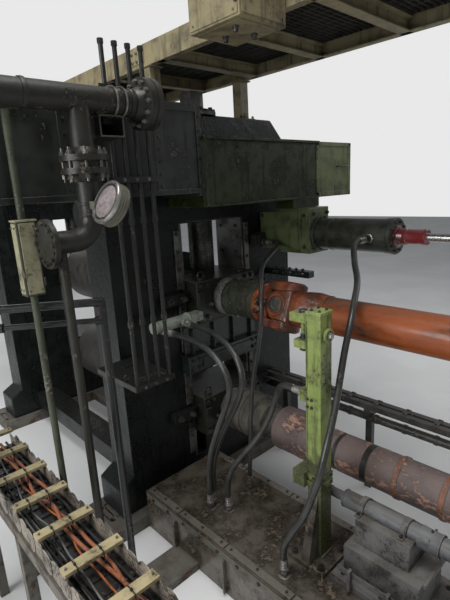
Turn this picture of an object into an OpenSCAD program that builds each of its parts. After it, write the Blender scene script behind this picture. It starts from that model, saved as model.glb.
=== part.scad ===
// Two-high rolling mill stand, seen from its drive side.
// X is the rolling direction, Y the roll axis with the drive at -Y, Z up from the floor.

/* [Housings] */
// Width of a housing along the rolling direction
housing_w = 2080; // [1900:10:2200]
// Width of the window between the posts
window_w = 740; // [640:10:800]
// Thickness of a housing casting
housing_t = 340; // [280:10:400]
// Height of the housing top above the floor
housing_top = 3350; // [3200:10:3500]
// Height of the window sill above the floor
window_sill = 330; // [280:10:400]
// Height of the window head above the floor
window_head = 2480; // [2380:10:2560]
// Distance between the inner faces of the two housings
housing_gap = 2220; // [2100:20:2400]
// Thickness of the sole plates
sole_t = 120; // [80:10:160]
// Reach of a sole plate past the housing on each side
sole_reach = 260; // [220:10:320]

/* [Rolls] */
// Diameter of the roll barrels
roll_d = 700; // [600:10:740]
// Length of the roll barrels
roll_l = 1900; // [1700:20:2000]
// Diameter of the roll necks in the chocks
neck_d = 280; // [220:5:300]
// Height of the top roll axis
top_z = 1820; // [1780:5:1860]
// Height of the bottom roll axis
bottom_z = 760; // [720:5:800]
// Height of a chock
chock_h = 360; // [330:5:400]
// Reach of a chock past the outer face of the housing
chock_out = 150; // [120:5:180]
// Reach of a chock past the inner face of the housing
chock_in = 30; // [10:5:60]
// Thickness of the liners in the window
liner_t = 20; // [12:2:30]
// Diameter of the adjusting screws
screw_d = 220; // [180:5:240]

/* [Drive] */
// Diameter of the coupling hub on the top roll
hub_d = 300; // [280:5:320]
// Largest diameter of the top universal joint
joint_d = 390; // [370:5:400]
// Diameter of the top spindle tube
top_tube_d = 266; // [240:2:290]
// Diameter of the bottom coupling discs
disc_d = 400; // [360:5:420]
// Diameter of the bottom spindle drum
drum_d = 356; // [330:2:380]
// Diameter of the bottom spindle tube
bottom_tube_d = 284; // [260:2:300]
// Distance from the stand centre to the outboard spindle flanges
drive_reach = 3950; // [3800:10:4100]
// Diameter of the bolt circle on the outboard flanges
flange_pcd = 310; // [300:2:320]
// Turn of the universal joint at rest, in degrees
joint_turn = 20; // [0:5:45]
// Number of bolts on each outboard flange
flange_bolts = 8; // [6:1:10]
// Diameter of the bolt holes in the outboard flanges
flange_hole_d = 22; // [16:1:26]

/* [Cover and girder] */
// Width of the green cover box up to its seam
cover_w = 1380; // [1300:10:1460]
// Width of the framed end panel
cover_end_w = 565; // [500:5:620]
// Height of the cover box
cover_h = 490; // [440:10:540]
// Depth of the cover box and girder in front of the housing
cover_depth = 450; // [400:10:500]
// Height of the cover box underside
cover_z = 2620; // [2600:5:2660]
// Length of the dark box girder
girder_l = 1900; // [1700:10:2000]
// Height of the girder underside
girder_z = 2724; // [2680:2:2760]
// Height of the girder section
girder_h = 592; // [540:2:620]

/* [Shift gear] */
// Diameter of the shift cylinder
shift_d = 270; // [240:5:290]
// Length of the shift cylinder
shift_l = 700; // [620:10:780]
// Diameter of the red sleeve
sleeve_d = 120; // [100:5:140]
// Length of the red sleeve
sleeve_l = 240; // [200:10:300]
// Diameter of the bright rod
rod_d = 64; // [50:2:80]

/* [Post and bed] */
// Width of the lime-green post along the rolling direction
post_w = 110; // [90:5:130]
// Width of the post along the roll axis
post_d = 100; // [80:5:120]
// Height of the post top
post_top = 2030; // [1960:10:2060]
// Height of the bed surface
bed_z = 350; // [320:5:370]
// Width of the bed
bed_w = 800; // [740:10:840]
// Diameter of the grey cylinder beside the post
ram_d = 110; // [96:2:124]

/* [Services] */
// Diameter of the water header
header_d = 136; // [120:2:150]
// Diameter of the branch pipe
branch_d = 120; // [110:2:130]
// Diameter of the small vertical pipes
small_pipe_d = 28; // [20:1:34]
// Width of the cable chain
chain_w = 290; // [260:5:320]
// Height of the cable chain top
chain_z = 1150; // [1100:10:1200]
// Distance between crossbars of the cable chain
chain_pitch = 300; // [250:10:350]
// Diameter of the large hoses
hose_d = 44; // [36:1:46]
// Diameter of the drain hose
drain_d = 36; // [30:1:40]

/* [Walkway] */
// Height of the walkway underside above the housing tops
walk_lift = 350; // [250:10:450]
// Width of the walkway
walk_w = 1090; // [1000:10:1150]
// Height of the walkway side beams
walk_beam_h = 160; // [120:5:200]

/* [Hidden] */

$fn = 48;
run_fit = 0.05;
slide_gap = 5;
seat_gap = 0.3;
overlap = 1;
both = [-1, 1];

// Housing places
in_y = housing_gap / 2;
out_y = in_y + housing_t;
half_w = housing_w / 2;
half_window = window_w / 2;
sole_over = 100;
foot_w = 140;
foot_h = 260;
foot_slope = 80;
shoulder = 220;
anchor_d = 50;
anchor_edge = 60;
anchor_x = half_w + sole_reach - anchor_edge;
anchor_y = 100;
sole_tie_w = 300;
tie_x = half_w - 280;
tie_w = 240;
upper_tie_z = housing_top - 650;
upper_tie_h = 300;
lower_tie_z = sole_t + 60;
lower_tie_h = 180;
keeper_t = 60;
keeper_h = 90;
keeper_reach = 250;
screw_stick = 60;
square_w = 140;
square_h = 140;
half_rest = 240;
beam_reach = 80;
beam_z = 1200;
beam_h = 150;
beam_t = 110;

// Chock places
chock_w = window_w - 2 * liner_t - 2 * slide_gap;
chock_y0 = in_y - chock_in;
chock_y1 = out_y + chock_out;
bottom_chock_z = bottom_z - chock_h / 2;
top_chock_top = top_z + chock_h / 2;

// Drive places, as distances from the stand centre
seal_t = 90;
seal_d = 340;
hub_y0 = chock_y1 + seal_t;
hub_l = 300;
hub_rim_t = 50;
rim_d = 330;
yoke_y0 = hub_y0 + hub_l + hub_rim_t;
yoke_base_t = 45;
ear_w = 190;
ear_t = 85;
pin_d = 96;
cap_depth = 10;
cross_w = 130;
yoke_reach = 263;
joint_y = yoke_y0 + yoke_reach;
yoke_base_y = 2 * joint_y - yoke_y0;
cone_l = 110;
shoulder_t = 20;
coupling_end = hub_y0 + 522;
drum_l = 308;
end_flange_t = 50;
end_flange_d = 370;
end_flange_y0 = drive_reach - end_flange_t;

// Front faces
cover_y = -out_y - cover_depth;
cover_x0 = -460;
girder_x1 = -500;
girder_x0 = girder_x1 - girder_l;

// Shift gear places
shift_x = 740;
shift_z = 2310;
block_w = 280;
block_y0 = -2060;
block_y1 = -1720;
block_z0 = 2140;
ledge_h = 80;
block_z1 = cover_z - ledge_h;

latch_x = 560;
latch_w = 80;
latch_t = 90;
latch_z0 = 2190;
latch_h = 130;
latch_eye_d = 70;
drain_gland_d = 50;
bar_x = 660;
bar_w = 80;
bar_l = 550;
bar_z = 1900;
bar_h = 60;
bar_slots = 3;
bar_slot_pitch = 150;
slot_l = 70;
slot_h = 24;
stub_d = 92;
stub_x0 = -830;
stub_x1 = -470;
stub_y = -1620;
stub_z = 1725;

// Post and bed places
post_x = -620;
post_y = -3022;
foot_plate_t = 30;
lug_t = 50;
upper_lug_l = 125;
upper_lug_z = post_top - 75;
lower_lug_l = 95;
lower_lug_z = post_top - 235;
lug_pin_d = 36;
boss_d = 86;
boss_t = 16;
clamp_z = 880;
clamp_h = 100;
gusset_t = 30;
gusset_h = 480;
gusset_toe = 60;
gusset_reach = 100;
bed_leg_w = 100;
bed_x0 = -1000;
bed_plate_t = 40;
bed_y0 = -3900;
bed_y1 = -(out_y + sole_over);
ram_x = -450;
ram_z = 777;
ram_y1 = -3090;
ram_nose_d = 60;
ram_nose_l = 130;
collar_y0 = -3700;
collar_l = 120;
// Pedestal steps from the bottom up: edges beside the ram's axis and along Y
step_x0 = [-240, -180, -120];
step_x1 = [180, 120, 110];
step_y0 = [-3760, -3660, -3570];
step_y1 = [-3140, -3190, -3230];
rails_x = 640;
rails_z = 800;
rail_bar = 50;
rail_slot = 30;
rail_tube_d = 70;
rail_saddle_h = 70;
rail_leg_w = 60;

// Services
header_y = -2150;
header_z = 3235;
header_x0 = -2400;
header_x1 = -1080;
blind_d = 280;
blind_t = 40;
joint_gap = 4;
arm_xs = [-2000, -1290];
arm_w = 50;
arm_h = 60;
prop_x = -1680;
branch_x = -1490;
pair_z = 2860;
pair_pitch = 65;
pair_t = 30;
lamp_at = [-1475, -2355, 2700];
lamp_d = 220;
lamp_l = 66;
lamp_lean = 63;
lamp_arm = 60;
branch_flange_d = 254;
elbow_r = 120;
elbow_z = 2520;
inlet_x = -1760;
inlet_t = 26;
inlet_pcd = 210;
inlet_hole_d = 18;
inlet_bolts = 8;
chain_x = -1985;
chain_y0 = -3700;
chain_y1 = -1200;
chain_h = 120;
crossbar_w = 60;
crossbar_t = 18;
chain_side_t = 20;
chain_floor_t = 12;
cable_d = 30;
cable_pitch = 45;
first_pipe_x = -1210;
pipe_pitch = 88;
pipes_y = -1960;
pipes_z0 = 1440;
pipes_z1 = 3600;
clamp_edge = 30;
clamp_bar_h = 40;
upper_clamp_z = 2810;
lower_clamp_z = 1450;
trough_h = 70;
trough_edge = 10;
trough_leg = 60;
sleeper_x0 = -2450;
sleeper_y0 = -2200;
sleeper_y1 = -1930;
sleeper_t = 60;
rail_d = 48;
rail_z = 2150;
rail_drop = 110;
lower_rail_d = 33.6;
pole_at = [-1790, -1960];
pole_d = 40;
pole_top = 3190;
pole_box_z = 2240;
pole_box_h = 400;
rail_corner = [-1470, -2100];
rail_end = [-2400, -1400];

// Walkway places
walk_z = housing_top + walk_lift;
walk_x = 105;
walk_y0 = -3600;
walk_y1 = 1450;
walk_t = 40;
walk_post_w = 100;
cross_beam_w = 80;
cross_beam_h = 100;
deck_t = 25;
junction_w = 370;
junction_l = 400;
junction_h = 500;
junction_drop = 100;
junction_y0 = -2670;

// Hose routes, from gland to gland
hose_a_route = [[-740, -1700, 1690], [-740, -1800, 1690], [-740, -1920, 1690], [-740, -2050, 1680],
    [-745, -2170, 1655], [-750, -2270, 1605], [-750, -2345, 1530], [-752, -2372, 1420],
    [-755, -2340, 1300], [-760, -2275, 1160], [-762, -2205, 1000], [-765, -2145, 840],
    [-765, -2110, 680], [-765, -2100, 540], [-765, -2100, 390]];
hose_b_route = [[-560, -1700, 1720], [-560, -1800, 1720], [-568, -1920, 1720], [-580, -2040, 1710],
    [-597, -2160, 1686], [-612, -2265, 1640], [-628, -2345, 1570], [-642, -2388, 1480],
    [-655, -2380, 1365], [-668, -2325, 1230], [-682, -2250, 1090], [-697, -2180, 940],
    [-708, -2130, 800], [-715, -2100, 660], [-715, -2090, 530], [-715, -2090, 390]];
feed_route = [[540, -2620, 2300], [460, -2620, 2300], [370, -2640, 2284], [200, -2740, 2190],
    [30, -2865, 2085], [-130, -2940, 1985], [-260, -2990, 1865], [-350, -3012, 1735],
    [-430, -3035, 1605], [-520, -3065, 1480], [-620, -3095, 1360], [-700, -3110, 1240],
    [-755, -3108, 1110], [-795, -3080, 965], [-822, -3035, 820], [-848, -2962, 675],
    [-860, -2910, 540], [-860, -2910, 390]];
drain_route = [[560, -1590, 2230], [560, -1650, 2230], [543, -1718, 2228], [485, -1782, 2220],
    [330, -1860, 2190], [200, -1915, 2160],
    [60, -1990, 2130], [-70, -2080, 2090], [-170, -2165, 2030], [-240, -2225, 1930],
    [-268, -2245, 1800], [-280, -2230, 1660], [-290, -2205, 1500], [-305, -2180, 1340],
    [-320, -2165, 1170], [-336, -2158, 1000], [-352, -2160, 830], [-370, -2165, 660],
    [-390, -2170, 520], [-390, -2170, 390]];
loop_route = [[-560, -2850, 1480], [-560, -2780, 1480], [-545, -2690, 1470], [-515, -2615, 1420],
    [-500, -2565, 1330], [-510, -2530, 1210], [-550, -2490, 1090], [-595, -2430, 970],
    [-640, -2350, 850], [-680, -2265, 700], [-690, -2225, 540], [-690, -2225, 390]];
gland_d = 60;
bed_gland_d = 48;
gland_h = 40;

// Plain helpers
module y_cyl(d, y0, y1, x = 0, z = 0) {
    translate([x, y1, z]) rotate([90, 0, 0]) cylinder(d = d, h = y1 - y0);
}

module x_cyl(d, x0, x1, y = 0, z = 0) {
    translate([x0, y, z]) rotate([0, 90, 0]) cylinder(d = d, h = x1 - x0);
}

module z_cyl(d, z0, z1, x = 0, y = 0) {
    translate([x, y, z0]) cylinder(d = d, h = z1 - z0);
}

module block(x0, x1, y0, y1, z0, z1) {
    translate([x0, y0, z0]) cube([x1 - x0, y1 - y0, z1 - z0]);
}

module rod_between(a, b, d) {
    v = b - a;
    l = norm(v);
    translate(a) rotate([0, acos(v[2] / l), atan2(v[1], v[0])]) cylinder(d = d, h = l);
}

// Drive pieces are drawn along +Y from the stand centre and turned to the drive side
module turned(profile, z) {
    translate([0, 0, z]) rotate([90, 0, 0]) rotate_extrude($fn = 64) polygon(profile);
}

// Hose tube swept along its route
function unit(v) = v / norm(v);
function heading(p, i) = unit(p[min(i + 1, len(p) - 1)] - p[max(i - 1, 0)]);
function side_of(t) = unit(abs(t[0]) < 0.9 ? cross(t, [1, 0, 0]) : cross(t, [0, 1, 0]));
function carried(s, t) = unit(s - t * (s * t));
function sides(p, i) = i == 0 ? side_of(heading(p, 0)) : carried(sides(p, i - 1), heading(p, i));
hose_sides = 8;

module hose(p, d) {
    n = hose_sides;
    pts = [for (i = [0:len(p) - 1])
        let (t = heading(p, i), s = sides(p, i), u = cross(t, s))
        for (k = [0:n - 1]) p[i] + (cos(360 * k / n) * s + sin(360 * k / n) * u) * d / 2];
    walls = [for (i = [0:len(p) - 2]) for (k = [0:n - 1])
        [i * n + k, i * n + (k + 1) % n, (i + 1) * n + (k + 1) % n, (i + 1) * n + k]];
    ends = [[for (k = [n - 1:-1:0]) k], [for (k = [0:n - 1]) (len(p) - 1) * n + k]];
    polyhedron(points = pts, faces = concat(walls, ends));
}

// Stand
module sole_frame() {
    y0 = in_y - sole_over / 2;
    color("dimgray") difference() {
        union() {
            for (side = both)
                block(-half_w - sole_reach, half_w + sole_reach,
                    side < 0 ? -out_y - sole_over : y0, side < 0 ? -y0 : out_y + sole_over, 0, sole_t);
            block(-sole_tie_w / 2, sole_tie_w / 2, -y0 - overlap, y0 + overlap, 0, sole_t);
        }
        for (side = both) for (x = [-anchor_x, anchor_x]) for (dy = [-anchor_y, anchor_y])
            z_cyl(anchor_d, -overlap, sole_t + overlap, x, side * (in_y + housing_t / 2) + dy);
    }
}

module housing(side) {
    y0 = side < 0 ? -out_y : in_y;
    foot_x = half_w + foot_w;
    foot_z = sole_t + foot_h;
    color("darkslategray") difference() {
        translate([0, y0 + housing_t, 0]) rotate([90, 0, 0]) linear_extrude(housing_t)
            difference() {
                polygon([[-foot_x, sole_t], [foot_x, sole_t], [foot_x, foot_z], [half_w, foot_z + foot_slope],
                    [half_w, housing_top - shoulder], [half_w - shoulder, housing_top],
                    [-half_w + shoulder, housing_top], [-half_w, housing_top - shoulder],
                    [-half_w, foot_z + foot_slope], [-foot_x, foot_z]]);
                translate([-half_window, window_sill])
                    square([window_w, window_head - window_sill]);
            }
        z_cyl(screw_d + 2 * run_fit, window_head - overlap, housing_top + overlap, 0, y0 + housing_t / 2);
    }
}

module housing_ties() {
    color("darkslategray") for (s = both) {
        block(s * tie_x - tie_w / 2, s * tie_x + tie_w / 2, -in_y, in_y,
            upper_tie_z, upper_tie_z + upper_tie_h);
        block(s * tie_x - tie_w / 2, s * tie_x + tie_w / 2, -in_y, in_y,
            lower_tie_z, lower_tie_z + lower_tie_h);
    }
}

module liners() {
    middle = half_window - liner_t / 2;
    color("gray") for (side = both) for (s = both)
        block(s * middle - liner_t / 2, s * middle + liner_t / 2,
            side < 0 ? -out_y : in_y, side < 0 ? -in_y : out_y, window_sill, window_head);
}

module chock_rests() {
    color("gray") for (side = both)
        block(-half_rest, half_rest, side < 0 ? -out_y : in_y, side < 0 ? -in_y : out_y,
            window_sill, bottom_chock_z);
}

module chock(side, z) {
    y0 = side < 0 ? -chock_y1 : chock_y0;
    y1 = side < 0 ? -chock_y0 : chock_y1;
    color("darkolivegreen") difference() {
        block(-chock_w / 2, chock_w / 2, y0, y1, z - chock_h / 2, z + chock_h / 2);
        y_cyl(neck_d + 2 * run_fit, y0 - overlap, y1 + overlap, 0, z);
    }
}

module adjusting_screws() {
    square_z = housing_top + screw_stick;
    color("gray") for (side = both)
        translate([0, side * (in_y + housing_t / 2), 0]) {
            z_cyl(screw_d, top_chock_top, square_z);
            block(-square_w / 2, square_w / 2, -square_w / 2, square_w / 2, square_z, square_z + square_h);
        }
}

module keepers() {
    x0 = chock_w / 2 + slide_gap;
    x1 = half_window + keeper_reach;
    color("darkslategray") for (side = both) for (s = both) for (z = [top_z, bottom_z])
        block(s < 0 ? -x1 : x0, s < 0 ? -x0 : x1, side < 0 ? -out_y - keeper_t : out_y,
            side < 0 ? -out_y : out_y + keeper_t, z, z + keeper_h);
}

module window_beam() {
    reach = half_window + beam_reach;
    color("teal") block(-reach, reach, -out_y - beam_t, -out_y, beam_z, beam_z + beam_h);
}

module seal_rings() {
    y0 = -chock_y1 - seal_t;
    color("gray") for (z = [top_z, bottom_z]) difference() {
        y_cyl(seal_d, y0, -chock_y1, 0, z);
        y_cyl(neck_d + 2 * slide_gap, y0 - overlap, -chock_y1 + overlap, 0, z);
    }
}

// Rolls and drive
module roll(z) {
    shoulder_d = neck_d + 60;
    shoulder_y = chock_y0 - shoulder_t;
    neck_end = chock_y1 + shoulder_t;
    color("gray") turned([[0, -neck_end], [neck_d / 2, -neck_end], [neck_d / 2, -shoulder_y],
        [shoulder_d / 2, -shoulder_y], [shoulder_d / 2, -roll_l / 2], [roll_d / 2, -roll_l / 2],
        [roll_d / 2, roll_l / 2], [shoulder_d / 2, roll_l / 2], [shoulder_d / 2, shoulder_y],
        [neck_d / 2, shoulder_y], [neck_d / 2, hub_y0], [0, hub_y0]], z);
}

module hub_top() {
    y2 = hub_y0 + hub_l;
    color("#3a3d33") turned([[0, hub_y0], [hub_d / 2, hub_y0], [hub_d / 2, y2 - 30],
        [rim_d / 2, y2], [rim_d / 2, y2 + hub_rim_t], [0, y2 + hub_rim_t]], top_z);
}

// Two ears on a round base, pointing +Y from y0 to the joint centre
module yoke_body(y0) {
    reach = joint_y - y0;
    ear_r0 = joint_d / 2 - ear_t;
    intersection() {
        union() {
            y_cyl(rim_d, 0, yoke_base_t);
            for (s = [-1, 1]) {
                block(-ear_w / 2, ear_w / 2, yoke_base_t - overlap, reach,
                    s < 0 ? -joint_d / 2 : ear_r0, s < 0 ? -ear_r0 : joint_d / 2);
                z_cyl(ear_w, s < 0 ? -joint_d / 2 : ear_r0, s < 0 ? -ear_r0 : joint_d / 2, 0, reach);
            }
        }
        y_cyl(joint_d, -overlap, reach + ear_w);
    }
}

// The joint's pieces, turned about the top axis as they stand at rest
module joint_turned() {
    translate([0, 0, top_z]) rotate([0, joint_turn, 0]) translate([0, 0, -top_z]) children();
}

module flange_yoke() {
    color("chocolate") joint_turned() difference() {
        translate([0, -yoke_y0, top_z]) mirror([0, 1, 0]) yoke_body(yoke_y0);
        z_cyl(pin_d + 2 * run_fit, top_z - joint_d, top_z + joint_d, 0, -joint_y);
    }
}

module joint_cross() {
    arm = joint_d - 2 * cap_depth;
    color("dimgray") joint_turned() union() {
        z_cyl(pin_d, top_z - arm / 2, top_z + arm / 2, 0, -joint_y);
        x_cyl(pin_d, -arm / 2, arm / 2, -joint_y, top_z);
        translate([0, -joint_y, top_z]) cube(cross_w, center = true);
    }
}

module tube_yoke() {
    color("chocolate") joint_turned() difference() {
        union() {
            translate([0, -yoke_base_y, top_z]) rotate([0, 90, 0]) yoke_body(yoke_y0);
            turned([[0, yoke_base_y], [rim_d / 2, yoke_base_y], [rim_d / 2, yoke_base_y + shoulder_t],
                [top_tube_d / 2, yoke_base_y + cone_l], [0, yoke_base_y + cone_l]], top_z);
        }
        x_cyl(pin_d + 2 * run_fit, -joint_d, joint_d, -joint_y, top_z);
    }
}

module end_flange(z) {
    difference() {
        y_cyl(end_flange_d, -drive_reach, -end_flange_y0, 0, z);
        for (i = [0:flange_bolts - 1]) {
            a = 360 * i / flange_bolts;
            y_cyl(flange_hole_d, -drive_reach - overlap, -end_flange_y0 + overlap,
                flange_pcd / 2 * cos(a), z + flange_pcd / 2 * sin(a));
        }
    }
}

module spindle_top() {
    color("chocolate") {
        y_cyl(top_tube_d, -end_flange_y0, -yoke_base_y - cone_l - run_fit, 0, top_z);
        end_flange(top_z);
    }
}

module coupling_bottom() {
    r = disc_d / 2;
    g = 12;
    color("#4a4a3c") turned([[0, hub_y0], [r, hub_y0], [r, hub_y0 + 70], [r - g, hub_y0 + 75],
        [r - g, hub_y0 + 95], [r, hub_y0 + 100], [r, hub_y0 + 170], [r - g, hub_y0 + 175],
        [r - g, hub_y0 + 195], [r, hub_y0 + 200], [r, hub_y0 + 280], [r - 40, hub_y0 + 300],
        [r - 40, hub_y0 + 390], [120, hub_y0 + 400], [120, coupling_end], [0, coupling_end]], bottom_z);
}

// A raised band or a groove on a turned tube, from its distance to the coupling
function band(r, at, w, rise) = let (y = coupling_end + at)
    [[r, y], [r + rise, y + 5], [r + rise, y + w - 5], [r, y + w]];

module spindle_bottom() {
    r = bottom_tube_d / 2;
    drum_end = coupling_end + drum_l;
    color("rosybrown") {
        turned(concat([[0, coupling_end], [drum_d / 2 - 10, coupling_end], [drum_d / 2, coupling_end + 10],
            [drum_d / 2, drum_end], [r + 20, drum_end + 40], [r + 20, drum_end + 80], [r, drum_end + 100]],
            band(r, 553, 38, -6), band(r, 778, 70, -3), band(r, 1025, 42, 6), band(r, 1329, 42, 6),
            [[r, end_flange_y0], [0, end_flange_y0]]), bottom_z);
        end_flange(bottom_z);
    }
}

// Upper front
module girder() {
    color("#3b403c") block(girder_x0, girder_x1, cover_y, -out_y, girder_z, girder_z + girder_h);
}

module cover_strip() {
    color("#454a44") block(girder_x1, cover_x0, cover_y - 10, -out_y, girder_z - 20, girder_z + girder_h);
}

module cover_box() {
    x1 = cover_x0 + cover_w;
    color("#4a5239") {
        block(cover_x0, x1, cover_y, -out_y, cover_z, cover_z + cover_h);
        block(shift_x - block_w / 2 - 60, x1, cover_y - 30, block_y1, block_z1, cover_z);
    }
}

module cover_end() {
    x0 = cover_x0 + cover_w;
    color("#56613f") block(x0, x0 + cover_end_w, cover_y, -out_y, cover_z, cover_z + cover_h);
}

module bracket_block() {
    color("#5a6647") union() {
        block(shift_x - block_w / 2, shift_x + block_w / 2, block_y0, block_y1, block_z0, block_z1);
        block(shift_x + 20, shift_x + block_w / 2, block_y1 - overlap, -out_y, block_z0 + 60, block_z1 - 60);
    }
}

module shift_cylinder() {
    color("#4d5452") union() {
        y_cyl(shift_d, block_y0 - shift_l, block_y0, shift_x, shift_z);
        y_cyl(shift_d + 12, block_y0 - shift_l - 30, block_y0 - shift_l + overlap, shift_x, shift_z);
        x_cyl(gland_d, feed_route[0][0], shift_x, feed_route[0][1], feed_route[0][2]);
    }
}

module shift_rod() {
    y1 = block_y0 - shift_l - 30;
    color("firebrick") {
        y_cyl(sleeve_d, y1 - sleeve_l, y1, shift_x, shift_z);
        y_cyl(rod_d, y1 - sleeve_l - 300, y1 - sleeve_l, shift_x, shift_z);
    }
}

module latch_block() {
    x0 = latch_x - latch_w / 2;
    color("#262826") union() {
        block(x0, x0 + latch_w, -out_y - latch_t, -out_y, latch_z0, latch_z0 + latch_h);
        x_cyl(latch_eye_d, x0 - 50, x0 + overlap, -out_y - 50, latch_z0 + latch_h / 2);
        y_cyl(drain_gland_d, drain_route[0][1], -out_y - latch_t + 10, drain_route[0][0], drain_route[0][2]);
    }
}

module slotted_bar() {
    x1 = bar_x + bar_w;
    middle = bar_z + bar_h / 2;
    color("#3f5a48") difference() {
        block(bar_x, x1, -out_y - bar_l, -out_y, bar_z, bar_z + bar_h);
        for (i = [1:bar_slots]) {
            y = -out_y - bar_slot_pitch * i;
            block(bar_x - 20, x1 + 20, y - slot_l / 2, y + slot_l / 2,
                middle - slot_h / 2, middle + slot_h / 2);
        }
    }
}

module hose_stub() {
    color("darkgray") union() {
        x_cyl(stub_d, stub_x0, stub_x1, stub_y, stub_z);
        block(stub_x1 - overlap, -chock_w / 2, stub_y - 40, stub_y + 60, stub_z - 35, stub_z + 35);
        for (r = [hose_a_route, hose_b_route])
            y_cyl(gland_d, r[0][1], stub_y, r[0][0], r[0][2]);
    }
}

// Post, pedestal and bed
module support_post() {
    x1 = post_x + post_w;
    y1 = post_y + post_d;
    color("yellowgreen") union() {
        block(post_x, x1, post_y, y1, bed_z + foot_plate_t, post_top);
        block(post_x, x1 - 10, y1 - overlap, y1 + upper_lug_l, upper_lug_z, upper_lug_z + lug_t);
        block(post_x, x1 - 20, y1 - overlap, y1 + lower_lug_l, lower_lug_z, lower_lug_z + lug_t);
        z_cyl(lug_pin_d, lower_lug_z + lug_t - overlap, upper_lug_z + overlap, post_x + 50, y1 + 55);
        y_cyl(boss_d, post_y - boss_t, post_y + overlap, post_x + 60, post_top - 140);
        block(post_x - 40, x1 - 10, y1 - overlap, y1 + 90, clamp_z, clamp_z + clamp_h);
        block(post_x + 20, x1 - 20, y1 - overlap, loop_route[0][1],
            loop_route[0][2] - 40, loop_route[0][2] + 40);
    }
}

module post_foot() {
    x1 = post_x + post_w;
    y1 = post_y + post_d;
    top = bed_z + foot_plate_t;
    color("#4a4c48") {
        difference() {
            block(post_x - 110, x1 + 60, post_y - 90, y1 + 90, bed_z, top);
            block(post_x + 10, x1 - 10, post_y + 10, y1 - 10, top - overlap, top + overlap);
        }
        gusset(post_x, -gusset_reach, post_y + 20);
        gusset(post_x, -gusset_reach, y1 - 20 - gusset_t);
    }
}

module gusset(x, reach, y) {
    translate([x, y + gusset_t, bed_z + foot_plate_t]) rotate([90, 0, 0]) linear_extrude(gusset_t)
        polygon([[0, 0], [reach, 0], [reach, gusset_toe], [0, gusset_h]]);
}

module pedestal() {
    tops = [50, 250, ram_z - 10 - bed_z];
    color("#5c5f5e") difference() {
        for (i = [0:2])
            block(ram_x + step_x0[i], ram_x + step_x1[i], step_y0[i], step_y1[i],
                bed_z + (i == 0 ? 0 : tops[i - 1] - overlap), bed_z + tops[i]);
        y_cyl(ram_d + 2 * seat_gap, step_y0[0] - 40, step_y1[0] + 40, ram_x, ram_z);
    }
}

module ram() {
    color("#6b7072") union() {
        y_cyl(ram_d, bed_y0 + 40, ram_y1, ram_x, ram_z);
        y_cyl(ram_nose_d, ram_y1 - 2 * overlap, ram_y1 + ram_nose_l, ram_x, ram_z);
        y_cyl(ram_d + 16, collar_y0, collar_y0 + collar_l, ram_x, ram_z);
    }
}

module bed() {
    x1 = bed_x0 + bed_w;
    color("#55534c") union() {
        block(bed_x0, x1, bed_y0, bed_y1, bed_z - bed_plate_t, bed_z);
        for (x = [bed_x0, bed_x0 + bed_w / 2 - bed_leg_w / 2, x1 - bed_leg_w])
            block(x, x + bed_leg_w, bed_y0, bed_y1, 0, bed_z - bed_plate_t + overlap);
        for (r = [hose_a_route, hose_b_route, feed_route, drain_route, loop_route])
            z_cyl(bed_gland_d, bed_z - overlap, bed_z + gland_h, r[len(r) - 1][0], r[len(r) - 1][1]);
    }
}

module side_rails() {
    x1 = rails_x + 2 * rail_bar + rail_slot;
    middle = (rails_x + x1) / 2;
    color("#3c3f40") union() {
        for (x = [rails_x, x1 - rail_bar])
            block(x, x + rail_bar, bed_y0, -out_y, rails_z, rails_z + rail_bar);
        y_cyl(rail_tube_d, bed_y0, -out_y, middle, rails_z - 100);
        for (y = [-3800, -2650, -1700]) {
            block(rails_x, x1, y, y + rail_leg_w, rails_z - rail_saddle_h, rails_z + overlap);
            block(middle - 25, middle + 25, y, y + rail_leg_w, 0, rails_z - rail_saddle_h + overlap);
        }
    }
}

// Services
module water_header() {
    pz = elbow_z + elbow_r;
    color("#3a3d3a") difference() {
        union() {
            x_cyl(header_d, header_x0, header_x1, header_y, header_z);
            x_cyl(blind_d, header_x1 - blind_t, header_x1, header_y, header_z);
            x_cyl(blind_d, header_x1 + joint_gap, header_x1 + blind_t, header_y, header_z);
            x_cyl(blind_d - 80, header_x1 - overlap, header_x1 + joint_gap + overlap, header_y, header_z);
            z_cyl(branch_d, pz, header_z, branch_x, header_y);
            for (z = [pair_z, pair_z + pair_pitch])
                z_cyl(branch_flange_d, z, z + pair_t, branch_x, header_y);
            translate([branch_x - elbow_r, header_y, pz]) rotate([90, 0, 0])
                rotate_extrude(angle = -90, $fn = 64) translate([elbow_r, 0]) circle(d = branch_d);
            x_cyl(branch_d, inlet_x, branch_x - elbow_r, header_y, elbow_z);
            x_cyl(branch_flange_d, inlet_x, inlet_x + inlet_t, header_y, elbow_z);
            z_cyl(rail_d, sleeper_t, elbow_z, prop_x, header_y);
            for (x = arm_xs)
                block(x, x + arm_w, header_y, cover_y, header_z - arm_h / 2, header_z + arm_h / 2);
        }
        for (i = [0:inlet_bolts - 1]) {
            a = 360 * (i + 0.5) / inlet_bolts;
            x_cyl(inlet_hole_d, inlet_x - overlap, inlet_x + inlet_t + overlap,
                header_y + inlet_pcd / 2 * cos(a), elbow_z + inlet_pcd / 2 * sin(a));
        }
    }
}

module small_pipes() {
    color("#4b4e4c") for (i = [0:3])
        z_cyl(small_pipe_d, pipes_z0, pipes_z1, first_pipe_x + i * pipe_pitch, pipes_y);
}

module pipe_clamps() {
    x0 = first_pipe_x - clamp_edge;
    x1 = first_pipe_x + 3 * pipe_pitch + clamp_edge;
    color("#4b4e4c") difference() {
        union() {
            block(x0, x1, pipes_y - 25, cover_y, upper_clamp_z, upper_clamp_z + clamp_bar_h);
            block(x0, x1, pipes_y - 25, -out_y, lower_clamp_z, lower_clamp_z + clamp_bar_h);
        }
        for (i = [0:3])
            z_cyl(small_pipe_d + 2 * run_fit, pipes_z0, pipes_z1, first_pipe_x + i * pipe_pitch, pipes_y);
    }
}

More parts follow.
